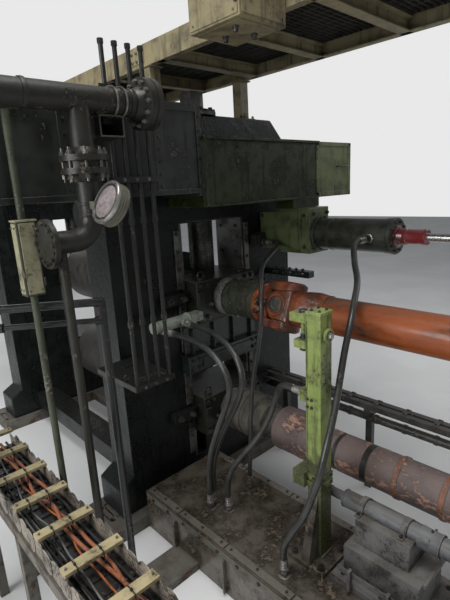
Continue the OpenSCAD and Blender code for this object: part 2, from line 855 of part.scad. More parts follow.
module guard_rail() {
    a = [rail_corner[0], rail_corner[1], rail_z];
    b = [rail_end[0], rail_end[1], rail_z];
    drop = [0, 0, -rail_drop];
    color("#1f2122") union() {
        rod_between(a, b, rail_d);
        rod_between(a + drop, b + drop, lower_rail_d);
        z_cyl(rail_d, sleeper_t, rail_z, a[0], a[1]);
        z_cyl(rail_d, 0, rail_z, b[0], b[1]);
        translate(a) sphere(d = rail_d + 2);
        translate(b) sphere(d = rail_d + 2);
    }
}

module pole() {
    x = pole_at[0];
    y = pole_at[1];
    top = pole_box_z + pole_box_h;
    color("darkseagreen") {
        z_cyl(pole_d, sleeper_t, pole_top, x, y);
        difference() {
            block(x - 50, x + 50, y - 50, y + 35, pole_box_z, top);
            z_cyl(pole_d + 2 * run_fit, pole_box_z - overlap, top + overlap, x, y);
        }
    }
}

module floodlight() {
    color("lightgray") union() {
        translate(lamp_at) rotate([lamp_lean, 0, -90]) cylinder(d = lamp_d, h = lamp_l, center = true);
        difference() {
            block(branch_x - lamp_arm / 2, branch_x + lamp_arm / 2, lamp_at[1] + lamp_d / 2 - 20,
                header_y - branch_d / 2 + 4, lamp_at[2] - 20, lamp_at[2] + 20);
            z_cyl(branch_d + 2 * seat_gap, lamp_at[2] - 30, lamp_at[2] + 30, branch_x, header_y);
        }
    }
}

module cable_chain() {
    x0 = chain_x - chain_w / 2;
    x1 = chain_x + chain_w / 2;
    z0 = chain_z - chain_h;
    color("tan") union() {
        for (x = [x0, x1 - chain_side_t])
            block(x, x + chain_side_t, chain_y0, chain_y1, z0, chain_z);
        block(x0, x1, chain_y0, chain_y1, z0 - overlap, z0 + chain_floor_t);
        for (i = [-2:2])
            y_cyl(cable_d, chain_y0 + 20, chain_y1 - 20, chain_x + cable_pitch * i,
                z0 + chain_floor_t + cable_d / 2 - overlap);
    }
}

module chain_crossbars() {
    x0 = chain_x - chain_w / 2;
    color("beige") for (y = [chain_y0 + 40:chain_pitch:chain_y1 - crossbar_w])
        block(x0, x0 + chain_w, y, y + crossbar_w, chain_z, chain_z + crossbar_t);
}

module chain_trough() {
    x0 = chain_x - chain_w / 2 - trough_edge;
    x1 = chain_x + chain_w / 2 + trough_edge;
    z1 = chain_z - chain_h - overlap;
    color("dimgray") union() {
        block(x0, x1, chain_y0, chain_y1, z1 - trough_h, z1);
        for (y = [chain_y0 + 100, sleeper_y0 + trough_leg, chain_y1 - 160])
            for (x = [x0, x1 - trough_leg])
                block(x, x + trough_leg, y, y + trough_leg, 0, z1 - trough_h + overlap);
        block(sleeper_x0, bed_x0, sleeper_y0, sleeper_y1, 0, sleeper_t);
    }
}

// Walkway
module walkway() {
    x0 = walk_x - walk_w / 2;
    x1 = walk_x + walk_w / 2;
    z1 = walk_z + walk_beam_h;
    beam_z1 = walk_z + cross_beam_h;
    last = walk_y1 - cross_beam_w;
    color("#a39b7c") union() {
        block(x0, x0 + walk_t, walk_y0, walk_y1, walk_z, z1);
        block(x1 - walk_t, x1, walk_y0, walk_y1, walk_z, z1);
        for (y = [walk_y0, each [walk_y0 + 700:700:walk_y1 - 500], last])
            block(x0 + walk_t - overlap, x1 - walk_t + overlap, y, y + cross_beam_w, walk_z, beam_z1);
        block(x0 + walk_t - overlap, x1 - walk_t + overlap, walk_y0, walk_y1,
            beam_z1 - overlap, beam_z1 + deck_t);
        for (x = [x0, x1 - walk_post_w])
            for (s = both)
                block(x, x + walk_post_w, s * (in_y + housing_t / 2) - walk_post_w / 2,
                    s * (in_y + housing_t / 2) + walk_post_w / 2, housing_top, walk_z + overlap);
    }
}

module junction_box() {
    x1 = walk_x - walk_w / 2;
    color("#aea686") block(x1 - junction_w, x1, junction_y0, junction_y0 + junction_l,
        walk_z - junction_drop, walk_z - junction_drop + junction_h);
}

// Hoses
module soft_hose(route, d) {
    color("#2b2b2b") hose(route, d);
}

sole_frame();
housing(-1);  // housing_ds
housing(1);  // housing_os
housing_ties();
liners();
chock_rests();
chock(-1, top_z);  // chock_top_ds
chock(1, top_z);  // chock_top_os
chock(-1, bottom_z);  // chock_bottom_ds
chock(1, bottom_z);  // chock_bottom_os
adjusting_screws();
keepers();
window_beam();
seal_rings();
roll(top_z);  // roll_top
roll(bottom_z);  // roll_bottom
hub_top();
flange_yoke();
joint_cross();
tube_yoke();
spindle_top();
coupling_bottom();
spindle_bottom();
girder();
cover_strip();
cover_box();
cover_end();
bracket_block();
shift_cylinder();
shift_rod();
latch_block();
slotted_bar();
hose_stub();
support_post();
post_foot();
pedestal();
ram();
bed();
side_rails();
water_header();
small_pipes();
pipe_clamps();
guard_rail();
pole();
floodlight();
cable_chain();
chain_crossbars();
chain_trough();
walkway();
junction_box();
soft_hose(hose_a_route, hose_d);  // hose_a
soft_hose(hose_b_route, hose_d);  // hose_b
soft_hose(loop_route, hose_d);  // loop_hose
soft_hose(feed_route, hose_d);  // feed_hose
soft_hose(drain_route, drain_d);  // drain_hose
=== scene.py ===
"""Dresses a two-high rolling mill stand: its finishes, fasteners, hoses and fine fittings."""
import itertools
import logging
import math
import random
from dataclasses import dataclass
from enum import Enum
from functools import cache
from typing import Iterable, Sequence

import bmesh
import bpy
from mathutils import Matrix, Vector, noise
from mathutils.geometry import interpolate_bezier


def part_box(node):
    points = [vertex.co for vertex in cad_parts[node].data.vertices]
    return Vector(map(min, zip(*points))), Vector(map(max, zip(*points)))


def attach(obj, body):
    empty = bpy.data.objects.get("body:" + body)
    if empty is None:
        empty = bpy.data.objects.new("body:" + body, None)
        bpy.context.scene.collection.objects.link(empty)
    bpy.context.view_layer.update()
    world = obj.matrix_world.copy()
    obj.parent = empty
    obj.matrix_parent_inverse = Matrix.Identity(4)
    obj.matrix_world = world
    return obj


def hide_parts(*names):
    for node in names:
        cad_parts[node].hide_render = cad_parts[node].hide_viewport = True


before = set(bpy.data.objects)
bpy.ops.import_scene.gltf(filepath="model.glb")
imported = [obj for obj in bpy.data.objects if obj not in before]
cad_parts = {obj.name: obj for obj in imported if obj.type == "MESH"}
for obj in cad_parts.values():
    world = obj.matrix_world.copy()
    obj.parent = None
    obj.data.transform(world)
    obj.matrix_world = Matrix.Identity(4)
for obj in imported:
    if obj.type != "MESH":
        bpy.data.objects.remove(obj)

LOG = logging.getLogger("stand")
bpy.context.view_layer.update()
Point = Sequence[float]
Colour = tuple[float, float, float]
Place = tuple[Point, Point]
Outline = Sequence[tuple[float, float]]
LEFT, RIGHT = (-1, 0, 0), (1, 0, 0)
FRONT, BACK = (0, -1, 0), (0, 1, 0)
DOWN, UP = (0, 0, -1), (0, 0, 1)
BOTH = (-1, 1)


def grow(tree: bpy.types.NodeTree, kind: str, settings: dict | None = None,
         sockets: dict | None = None) -> bpy.types.Node:
    """Adds a node to a tree.

    Args:
        tree: the tree.
        kind: the node's type.
        settings: its own settings, which are set first.
        sockets: values or links for its inputs, by name or number.
    Returns:
        The node.
    """
    node = tree.nodes.new(kind)
    for key, value in (settings or {}).items():
        setattr(node, key, value)
    fill(tree, node, sockets or {})
    return node


def fill(tree: bpy.types.NodeTree, node: bpy.types.Node, sockets: dict) -> None:
    """Sets or links a node's inputs. A colour gets its alpha of 1.

    Args:
        tree: the tree that the node is in.
        node: the node.
        sockets: values or links for its inputs, by name or number.
    """
    for key, value in sockets.items():
        if isinstance(value, Number):
            value = value.socket
        if isinstance(value, bpy.types.NodeSocket):
            tree.links.new(value, node.inputs[key])
        elif node.inputs[key].type == "RGBA":
            node.inputs[key].default_value = (*value, 1.0)
        else:
            node.inputs[key].default_value = value


class Number:
    """A number socket of a shader. Arithmetic on it adds Math nodes."""

    def __init__(self, shader: "Shader", socket: bpy.types.NodeSocket) -> None:
        """Keeps the socket and the shader that it belongs to."""
        self.shader = shader
        self.socket = socket

    def _math(self, operation: str, *values: "Number | float") -> "Number":
        """The result of one Math node with these inputs."""
        return self.shader.number("ShaderNodeMath", {"operation": operation}, dict(enumerate(values)))

    def __add__(self, other: "Number | float") -> "Number":
        """Sum."""
        return self._math("ADD", self, other)

    def __sub__(self, other: "Number | float") -> "Number":
        """Difference."""
        return self._math("SUBTRACT", self, other)

    def __rsub__(self, other: float) -> "Number":
        """Difference from a plain number."""
        return self._math("SUBTRACT", other, self)

    def __mul__(self, other: "Number | float") -> "Number":
        """Product."""
        return self._math("MULTIPLY", self, other)

    __radd__ = __add__
    __rmul__ = __mul__

    def most(self, other: "Number | float") -> "Number":
        """The larger of the two."""
        return self._math("MAXIMUM", self, other)

    def above(self, low: float, high: float) -> "Number":
        """A smooth step from 0 at low to 1 at high."""
        return self.shader.number("ShaderNodeMapRange", {"interpolation_type": "SMOOTHSTEP"},
                                  {0: self, 1: low, 2: high, 3: 0.0, 4: 1.0})


class Shader:
    """A material under construction, with one shader and the object's own coordinates."""

    def __init__(self, name: str) -> None:
        """Makes the empty material with its output, shader and coordinates.

        Args:
            name: the material's name.
        """
        self.material = bpy.data.materials.new(name)
        self.material.use_nodes = True
        self.tree = self.material.node_tree
        self.tree.nodes.clear()
        self.surface = grow(self.tree, "ShaderNodeBsdfPrincipled")
        grow(self.tree, "ShaderNodeOutputMaterial", None, {"Surface": self.surface.outputs[0]})
        self.place = self.link("ShaderNodeTexCoord", output="Object")

    def link(self, kind: str, settings: dict | None = None, sockets: dict | None = None,
             output: int | str = 0) -> bpy.types.NodeSocket:
        """Adds a node, as grow does, and returns one of its outputs."""
        return grow(self.tree, kind, settings, sockets).outputs[output]

    def number(self, kind: str, settings: dict | None = None, sockets: dict | None = None,
               output: int | str = 0) -> Number:
        """Adds a node and returns one of its outputs as a number."""
        return Number(self, self.link(kind, settings, sockets, output))

    def noise(self, scale: float, detail: float = 3.0, rough: float = 0.5,
              stretch: Point = (1, 1, 1)) -> Number:
        """Noise on the object's own coordinates.

        Args:
            scale: its size, in waves a metre.
            detail: number of finer layers.
            rough: weight of the finer layers.
            stretch: how much closer it lies along each axis.
        Returns:
            The noise, about 0.5 in the middle.
        """
        where = self.link("ShaderNodeMapping", None, {0: self.place, "Scale": tuple(stretch)})
        return self.number("ShaderNodeTexNoise", None,
                           {"Vector": where, "Scale": scale, "Detail": detail, "Roughness": rough})

    def mix(self, first: object, second: object, share: Number | float) -> bpy.types.NodeSocket:
        """Blends from the first colour at share 0 to the second at share 1."""
        return self.link("ShaderNodeMix", {"data_type": "RGBA"}, {0: share, 6: first, 7: second}, 2)

    def nook_shade(self, reach: float) -> Number:
        """Ambient-occlusion mask of corners and gaps, for other surfaces up to reach metres away, which
        paints shade into them.
        """
        return 1.0 - self.number("ShaderNodeAmbientOcclusion", {"samples": 4}, {"Distance": reach}, "AO")

    def edges(self, width: float) -> Number:
        """Mask of outer and inner edges.

        Args:
            width: reach to each side of an edge, in metres.
        Returns:
            The mask, 1 at an edge.
        """
        rounded = self.link("ShaderNodeBevel", {"samples": 4}, {"Radius": width})
        flat = self.link("ShaderNodeNewGeometry", output="Normal")
        product = {"operation": "DOT_PRODUCT"}
        cosine = self.number("ShaderNodeVectorMath", product, {0: rounded, 1: flat}, "Value")
        return (1.0 - cosine).above(0.01, 0.2)

    def height(self) -> Number:
        """Height above the floor, in metres."""
        return self.number("ShaderNodeSeparateXYZ", None, {0: self.place}, 2)

    def upward(self) -> Number:
        """Mask of what faces up."""
        normal = self.link("ShaderNodeNewGeometry", output="Normal")
        return self.number("ShaderNodeSeparateXYZ", None, {0: normal}, 2).above(0.55, 0.95)

    def finish(self, sockets: dict) -> bpy.types.Material:
        """Sets the shader's sockets, by name, and returns the material."""
        fill(self.tree, self.surface, sockets)
        return self.material


# OIL_AND_SHADE is dark oil; the same colour is also painted into nooks as painted shade.
OIL_AND_SHADE: Colour = (0.012, 0.011, 0.009)
RUST: Colour = (0.11, 0.042, 0.016)
# DUST_AND_TOP_LIGHT is pale dust, also painted on upward faces as the light that falls on tops.
DUST_AND_TOP_LIGHT: Colour = (0.20, 0.18, 0.15)
# The noise lies mostly within SPREAD / 2 of MIDDLE.
MIDDLE = 0.5
SPREAD = 0.2
SOFT = 0.035
# Noise scales in waves a metre.
BROAD, PATCH, STREAK, LUMP, PIT = 1.4, 6.5, 5.0, 11.0, 38.0
GRIT_RATIO = 5
# NOOK_REACH is how far the occlusion for painted shade in nooks reaches; GRIME_SHADE_COVER is how fully grime
# and that painted shade cover the colour.
NOOK_REACH = 0.09
GRIME_SHADE_COVER = 0.88
RELIEF = 0.004
COAT_ROUGH = 0.12


def cover(field: Number, share: float, soft: float = SOFT) -> Number:
    """Mask that covers about a share of a surface.

    Args:
        field: noise about 0.5.
        share: how much is covered, from 0 to 1.
        soft: half width of the mask's border.
    Returns:
        The mask.
    """
    edge = MIDDLE + (MIDDLE - share) * SPREAD
    return field.above(edge - soft, edge + soft)


@dataclass(frozen=True)
class Finish:
    """A worn, oily or painted metal surface. Shares run from 0 to 1 and lengths are in metres.

    The paint blends into the tint in broad patches. Grime covers the oily share and what lies below the sump,
    and its dark colour is also painted into the nooks as painted shade. Chips show their colour on the
    chipped share and within the worn width of edges.
    """

    name: str
    slot: str
    paint: Colour
    tint: Colour
    tinted: float = 0.5
    grime_shade_colour: Colour = OIL_AND_SHADE
    oily: float = 0.3
    chip: Colour = RUST
    chipped: float = 0.0
    worn: float = 0.0
    streaks: float = 0.0
    # dust: share of dust on upward faces, which also stands for painted light on tops.
    dust_and_top_light: float = 0.0
    # nooks: strength of the painted shade in nooks and corners.
    nook_shade: float = 0.5
    metal: float = 0.0
    rough: float = 0.36
    coat: float = 0.0
    shine: float = 0.4
    bump: float = 0.35
    lumps: float = 0.0
    grain: float = 60.0
    along: Point = (1.0, 1.0, 1.0)
    sump: float = 0.0

    def build(self) -> bpy.types.Material:
        """Makes the material with its wear, dirt and relief.

        Returns:
            The material.
        """
        s = Shader(self.name)
        broad = s.noise(BROAD, 4, 0.55)
        patch = s.noise(PATCH, 7, 0.62, self.along)
        fine = s.noise(self.grain, 6, 0.65, self.along)
        grit = s.noise(self.grain * GRIT_RATIO, 3, 0.6)
        colour = s.mix(self.paint, self.tint, cover(broad * 0.5 + patch * 0.5, self.tinted, 0.12))
        light = tuple(min(1.0, part * 1.35 + 0.008) for part in self.paint)
        colour = s.mix(colour, light, fine.above(0.3, 0.7) * 0.35)
        # The grime mask holds real oil and grime, and also painted shade in the nooks.
        grime_and_shade = self.grime_and_shade(s, broad, patch, fine)
        colour = s.mix(colour, self.grime_shade_colour, grime_and_shade * GRIME_SHADE_COVER)
        relief = fine * 0.5 + grit * 0.3
        rough = grime_and_shade * (-0.22) + fine * 0.22 + (self.rough - 0.04)
        if self.chipped or self.worn:
            field = patch * 0.45 + fine * 0.4 + grit * 0.15
            bare = cover(field, self.chipped, 0.025)
            if self.worn:
                bare = bare.most(cover(field + s.edges(self.worn) * 0.2, 0.3, 0.04) * s.edges(self.worn))
            tone = s.mix(self.chip, tuple(part * 0.5 for part in self.chip), grit.above(0.42, 0.6))
            colour = s.mix(colour, tone, bare)
            relief = relief - bare * 0.5
            rough = rough + bare * 0.25
        # Dust on upward faces, partly painted light: tops come out lighter as if lit from above.
        if self.dust_and_top_light:
            colour = s.mix(colour, DUST_AND_TOP_LIGHT, s.upward() * cover(patch * 0.4 + fine * 0.6, 0.55, 0.2) * self.dust_and_top_light)
        if self.lumps:
            relief = relief + s.noise(LUMP, 3, 0.5) * self.lumps + cover(s.noise(PIT, 2), 0.2, 0.05) * 0.4
        bump = s.link("ShaderNodeBump", None, {"Strength": self.bump, "Distance": RELIEF, "Height": relief})
        sockets = {"Base Color": colour, "Roughness": rough, "Normal": bump, "Specular IOR Level": self.shine}
        if self.coat:
            sockets["Coat Weight"] = (1.0 - grime_and_shade) * self.coat
            sockets["Coat Roughness"] = COAT_ROUGH
        if self.metal:
            sockets["Metallic"] = (1.0 - grime_and_shade * 0.7) * self.metal
        return s.finish(sockets)

    def grime_and_shade(self, s: Shader, broad: Number, patch: Number, fine: Number) -> Number:
        """Makes the mask of the grime, which also paints shade into the nooks.

        Args:
            s: the shader.
            broad: its broadest noise.
            patch: its noise in patches.
            fine: its fine noise.
        Returns:
            The mask.
        """
        grime_and_shade = cover(patch * 0.65 + fine * 0.35, self.oily, 0.08) * (broad * 0.7 + 0.45)
        if self.streaks:
            run = s.noise(STREAK, 5, 0.6, (5.0, 5.0, 0.3))
            grime_and_shade = grime_and_shade.most(cover(run * 0.75 + patch * 0.25, self.streaks * 0.5, 0.07) * 0.85)
        # Painted shade: ambient occlusion darkens nooks and corners toward the grime colour.
        if self.nook_shade:
            grime_and_shade = grime_and_shade.most(s.nook_shade(NOOK_REACH).above(0.15, 0.75) * self.nook_shade)
        if self.sump:
            grime_and_shade = grime_and_shade.most((self.sump - s.height() + patch * 1.4 - 0.7).above(0.0, 0.3))
        return grime_and_shade


class Surface(Enum):
    """Every finish on the stand."""

    CASTING = Finish("casting", "casting", (0.010, 0.012, 0.011), (0.006, 0.013, 0.012),
        grime_shade_colour=(0.006, 0.0055, 0.005), oily=0.5, worn=0.01, chip=(0.04, 0.04, 0.036), streaks=0.6, lumps=1.5,
        shine=0.28, bump=0.5, dust_and_top_light=0.08, grain=45)
    BASE = Finish("base_steel", "base_steel", (0.125, 0.117, 0.1), (0.17, 0.15, 0.12), oily=0.45,
        chipped=0.18, dust_and_top_light=0.55, rough=0.6, lumps=1.2, bump=0.6, grain=38)
    BED = Finish("oily_bed", "base_steel", (0.115, 0.098, 0.076), (0.055, 0.046, 0.036),
        grime_shade_colour=(0.012, 0.010, 0.008), oily=0.55, chip=(0.2, 0.15, 0.1), chipped=0.16, rough=0.34, coat=0.5,
        lumps=1.8, bump=0.7, grain=30)
    LINER = Finish("worn_steel", "worn_steel", (0.19, 0.185, 0.175), (0.10, 0.10, 0.095), metal=0.75,
        rough=0.34, oily=0.4, chipped=0.12)
    SCREW = Finish("greased_screw", "worn_steel", (0.16, 0.155, 0.14), (0.08, 0.078, 0.07), metal=0.8,
        rough=0.3, oily=0.6)
    SEAL = Finish("speckled_ring", "worn_steel", (0.17, 0.17, 0.155), (0.1, 0.1, 0.09), oily=0.5,
        chip=(0.46, 0.45, 0.42), chipped=0.22, rough=0.5, bump=0.6, grain=110)
    ROLL = Finish("roll_steel", "roll_steel", (0.10, 0.097, 0.093), (0.07, 0.068, 0.064), metal=0.6,
        rough=0.45, oily=0.35, along=(1.0, 5.0, 1.0), nook_shade=0.3)
    CHOCK = Finish("chock_paint", "chock_paint", (0.016, 0.017, 0.010), (0.010, 0.012, 0.009), oily=0.45,
        streaks=0.4, chip=(0.05, 0.045, 0.035), chipped=0.12, worn=0.008, rough=0.38, coat=0.3, lumps=0.8,
        bump=0.5, dust_and_top_light=0.15)
    TEAL = Finish("teal_paint", "teal_paint", (0.012, 0.025, 0.021), (0.008, 0.014, 0.013), oily=0.5,
        streaks=0.5, rough=0.34, coat=0.4, worn=0.007, chip=(0.10, 0.10, 0.09), bump=0.4)
    HUB = Finish("greasy_hub", "dark_steel", (0.054, 0.062, 0.042), (0.032, 0.034, 0.024), oily=0.45,
        rough=0.4, chip=(0.16, 0.13, 0.10), chipped=0.15, bump=0.55)
    DISC = Finish("coupling_steel", "dark_steel", (0.105, 0.100, 0.078), (0.060, 0.057, 0.045), oily=0.5,
        rough=0.44, chip=(0.20, 0.18, 0.15), chipped=0.14, worn=0.006, bump=0.6, dust_and_top_light=0.3)
    BLACK = Finish("black_steel", "dark_steel", (0.022, 0.022, 0.021), (0.035, 0.034, 0.032), oily=0.4,
        chip=(0.12, 0.11, 0.10), chipped=0.08, worn=0.004)
    ORANGE = Finish("orange_paint", "orange_paint", (0.27, 0.064, 0.013), (0.155, 0.036, 0.009),
        grime_shade_colour=(0.04, 0.018, 0.01), oily=0.36, chip=(0.055, 0.03, 0.018), chipped=0.1, worn=0.006, rough=0.34,
        coat=0.35, bump=0.22, nook_shade=0.8, dust_and_top_light=0.3, along=(1.0, 0.35, 1.0))
    YOKE = Finish("yoke_orange", "orange_paint", (0.27, 0.064, 0.017), (0.15, 0.036, 0.012),
        grime_shade_colour=(0.03, 0.016, 0.01), oily=0.5, chip=(0.1, 0.036, 0.018), chipped=0.22, worn=0.01, rough=0.38,
        coat=0.5, bump=0.6, lumps=0.8)
    MAUVE = Finish("rusty_tube", "rusty_tube", (0.165, 0.120, 0.108), (0.105, 0.093, 0.094), tinted=0.55,
        grime_shade_colour=(0.030, 0.024, 0.021), oily=0.36, chip=(0.52, 0.30, 0.22), chipped=0.3, rough=0.52, bump=0.65,
        grain=48, along=(1.0, 0.5, 1.0))
    BAND = Finish("rust_band", "rusty_tube", (0.26, 0.105, 0.060), (0.15, 0.065, 0.040),
        chip=(0.50, 0.27, 0.18), chipped=0.25, rough=0.55, oily=0.35)
    GIRDER = Finish("girder_paint", "girder_paint", (0.021, 0.024, 0.020), (0.015, 0.019, 0.017), streaks=0.3,
        coat=0.25, worn=0.006, chip=(0.16, 0.16, 0.14), bump=0.3)
    COVER = Finish("cover_paint", "cover_paint", (0.026, 0.038, 0.008), (0.015, 0.023, 0.005),
        grime_shade_colour=(0.01, 0.01, 0.005), streaks=0.25, rough=0.27, coat=0.3, shine=0.3, worn=0.006,
        chip=(0.12, 0.14, 0.08), bump=0.18)
    PANEL = Finish("panel_paint", "cover_paint", (0.112, 0.142, 0.056), (0.082, 0.106, 0.042), oily=0.22,
        streaks=0.25, rough=0.38, coat=0.25, worn=0.006, chip=(0.30, 0.31, 0.25), bump=0.22)
    CYLINDER = Finish("cylinder_paint", "cylinder_paint", (0.044, 0.054, 0.047), (0.038, 0.036, 0.022),
        oily=0.4, coat=0.3, chip=(0.12, 0.12, 0.11), chipped=0.06, bump=0.3)
    RAM = Finish("ram_grey", "cylinder_paint", (0.125, 0.128, 0.134), (0.085, 0.087, 0.090),
        chip=(0.07, 0.06, 0.055), chipped=0.06, rough=0.42, bump=0.3, dust_and_top_light=0.4, along=(1.0, 0.4, 1.0))
    PEDESTAL = Finish("pedestal_paint", "cylinder_paint", (0.135, 0.132, 0.125), (0.090, 0.088, 0.084),
        oily=0.35, chip=(0.045, 0.042, 0.038), chipped=0.25, worn=0.008, rough=0.5, dust_and_top_light=0.5, lumps=1.6,
        bump=0.7)
    RED = Finish("red_paint", "red_paint", (0.20, 0.026, 0.028), (0.12, 0.016, 0.018), rough=0.25, coat=0.7,
        shine=0.5, bump=0.15, chip=(0.30, 0.20, 0.18), chipped=0.05)
    CHROME = Finish("bright_rod", "worn_steel", (0.62, 0.62, 0.60), (0.5, 0.5, 0.48), metal=1.0, rough=0.2,
        oily=0.08, nook_shade=0.2, bump=0.08)
    STUB = Finish("stub_paint", "stub_paint", (0.32, 0.35, 0.29), (0.20, 0.23, 0.18), oily=0.25,
        chip=(0.10, 0.11, 0.09), chipped=0.14, rough=0.38, worn=0.006, bump=0.3)
    LIME = Finish("lime_paint", "lime_paint", (0.235, 0.300, 0.085), (0.160, 0.200, 0.060), tinted=0.45,
        sump=1.2, grime_shade_colour=(0.040, 0.042, 0.022), oily=0.26, streaks=0.2, chip=(0.040, 0.036, 0.026),
        chipped=0.13, worn=0.007, rough=0.42, coat=0.2, dust_and_top_light=0.25)
    RAIL = Finish("rail_steel", "rail_steel", (0.105, 0.102, 0.098), (0.06, 0.06, 0.058), metal=0.35,
        oily=0.42, chip=(0.22, 0.21, 0.19), chipped=0.12, dust_and_top_light=0.5)
    PIPE = Finish("dark_pipe", "rail_steel", (0.018, 0.019, 0.018), (0.030, 0.030, 0.027), oily=0.4,
        chip=(0.14, 0.13, 0.11), chipped=0.1, streaks=0.2)
    RAILING = Finish("black_railing", "rail_steel", (0.008, 0.0085, 0.008), (0.016, 0.016, 0.015),
        chip=(0.12, 0.11, 0.10), chipped=0.07, rough=0.34, coat=0.3)
    HEADER = Finish("header_paint", "header_paint", (0.024, 0.025, 0.021), (0.018, 0.016, 0.009), oily=0.4,
        streaks=0.3, chip=(0.18, 0.14, 0.10), chipped=0.08, rough=0.4, dust_and_top_light=0.35, bump=0.4)
    SHELF = Finish("shelf_paint", "header_paint", (0.020, 0.024, 0.018), (0.014, 0.017, 0.013), oily=0.35,
        chip=(0.30, 0.30, 0.27), chipped=0.04, worn=0.01, bump=0.4)
    POLE = Finish("pole_paint", "pole_paint", (0.066, 0.078, 0.048), (0.056, 0.060, 0.040),
        chip=(0.30, 0.27, 0.20), chipped=0.15, rough=0.5, streaks=0.2)
    BOX = Finish("pale_box", "pole_paint", (0.36, 0.34, 0.22), (0.27, 0.25, 0.155), oily=0.2,
        chip=(0.08, 0.075, 0.055), chipped=0.09, rough=0.55, worn=0.005)
    LAMP = Finish("lamp_metal", "lamp_metal", (0.17, 0.168, 0.130), (0.12, 0.118, 0.090), metal=0.2,
        oily=0.25, rough=0.45, dust_and_top_light=0.4, chip=(0.12, 0.10, 0.08), chipped=0.08)
    GLASS = Finish("lamp_glass", "lamp_metal", (0.15, 0.145, 0.135), (0.50, 0.40, 0.41), oily=0.2, rough=0.12,
        coat=0.8, shine=0.6, bump=0.05)
    CHAIN = Finish("chain_steel", "chain_steel", (0.37, 0.32, 0.265), (0.23, 0.20, 0.165), metal=0.2,
        oily=0.4, chip=(0.07, 0.058, 0.045), chipped=0.3, rough=0.42, lumps=0.8, bump=0.7)
    CROSSBAR = Finish("crossbar_paint", "chain_steel", (0.42, 0.355, 0.20), (0.32, 0.265, 0.15), oily=0.28,
        grime_shade_colour=(0.05, 0.04, 0.025), chip=(0.16, 0.11, 0.06), chipped=0.12, rough=0.5, worn=0.004, bump=0.3)
    BEIGE = Finish("beige_paint", "beige_paint", (0.285, 0.245, 0.140), (0.22, 0.185, 0.105), oily=0.25,
        grime_shade_colour=(0.07, 0.062, 0.045), streaks=0.4, chip=(0.14, 0.11, 0.075), chipped=0.05, rough=0.5,
        worn=0.006, dust_and_top_light=0.25, bump=0.2)
    GRATE = Finish("grating_steel", "beige_paint", (0.045, 0.043, 0.038), (0.07, 0.065, 0.055), metal=0.4,
        rough=0.5, oily=0.4, nook_shade=0.0)
    BOLT = Finish("bolt_steel", "rail_steel", (0.24, 0.23, 0.21), (0.13, 0.12, 0.105), metal=0.7, bump=0.3)
    DARK_BOLT = Finish("oily_bolt", "dark_steel", (0.085, 0.082, 0.074), (0.05, 0.048, 0.043), metal=0.5,
        rough=0.34, oily=0.45, bump=0.3)
    SILVER = Finish("fitting_steel", "worn_steel", (0.46, 0.45, 0.43), (0.30, 0.29, 0.27), metal=0.9,
        rough=0.28, oily=0.25, chip=(0.20, 0.10, 0.05), chipped=0.08)
    RUSTY = Finish("rusty_fitting", "rail_steel", (0.20, 0.105, 0.055), (0.12, 0.06, 0.035), rough=0.6,
        bump=0.6, chip=(0.30, 0.17, 0.09), chipped=0.2)
    HOSE = Finish("hose_rubber", "hose_rubber", (0.036, 0.037, 0.034), (0.020, 0.020, 0.018),
        grime_shade_colour=(0.009, 0.009, 0.008), chip=(0.13, 0.125, 0.11), chipped=0.15, rough=0.34, coat=0.35, nook_shade=0.3,
        grain=90)
    CABLE_BLACK = Finish("black_cable", "hose_rubber", (0.016, 0.016, 0.016), (0.03, 0.03, 0.028), oily=0.35,
        rough=0.4)
    CABLE_GREY = Finish("grey_cable", "hose_rubber", (0.24, 0.235, 0.215), (0.14, 0.14, 0.13), oily=0.35,
        rough=0.32, coat=0.3)
    CABLE_COPPER = Finish("copper_cable", "hose_rubber", (0.40, 0.145, 0.075), (0.28, 0.095, 0.048),
        rough=0.3, coat=0.3, oily=0.2)
    CABLE_ORANGE = Finish("orange_cable", "hose_rubber", (0.42, 0.12, 0.03), (0.30, 0.085, 0.025), rough=0.42,
        oily=0.25)

    @cache
    def material(self) -> bpy.types.Material:
        """The finish's material, made once."""
        return self.value.build()


SMOOTH_ANGLE = math.radians(35)
# Corners of a solid that lie closer than this are one.
WELD_GAP = 0.00005
# Widths of a hexagon's corners over its flats.
HEX_CORNERS = 1.15


def put(name: str, data: bpy.types.ID) -> bpy.types.Object:
    """Adds an object to the scene.

    Args:
        name: its name.
        data: its mesh, curve, lamp or camera.
    Returns:
        The object.
    """
    thing = bpy.data.objects.new(name, data)
    bpy.context.scene.collection.objects.link(thing)
    return thing


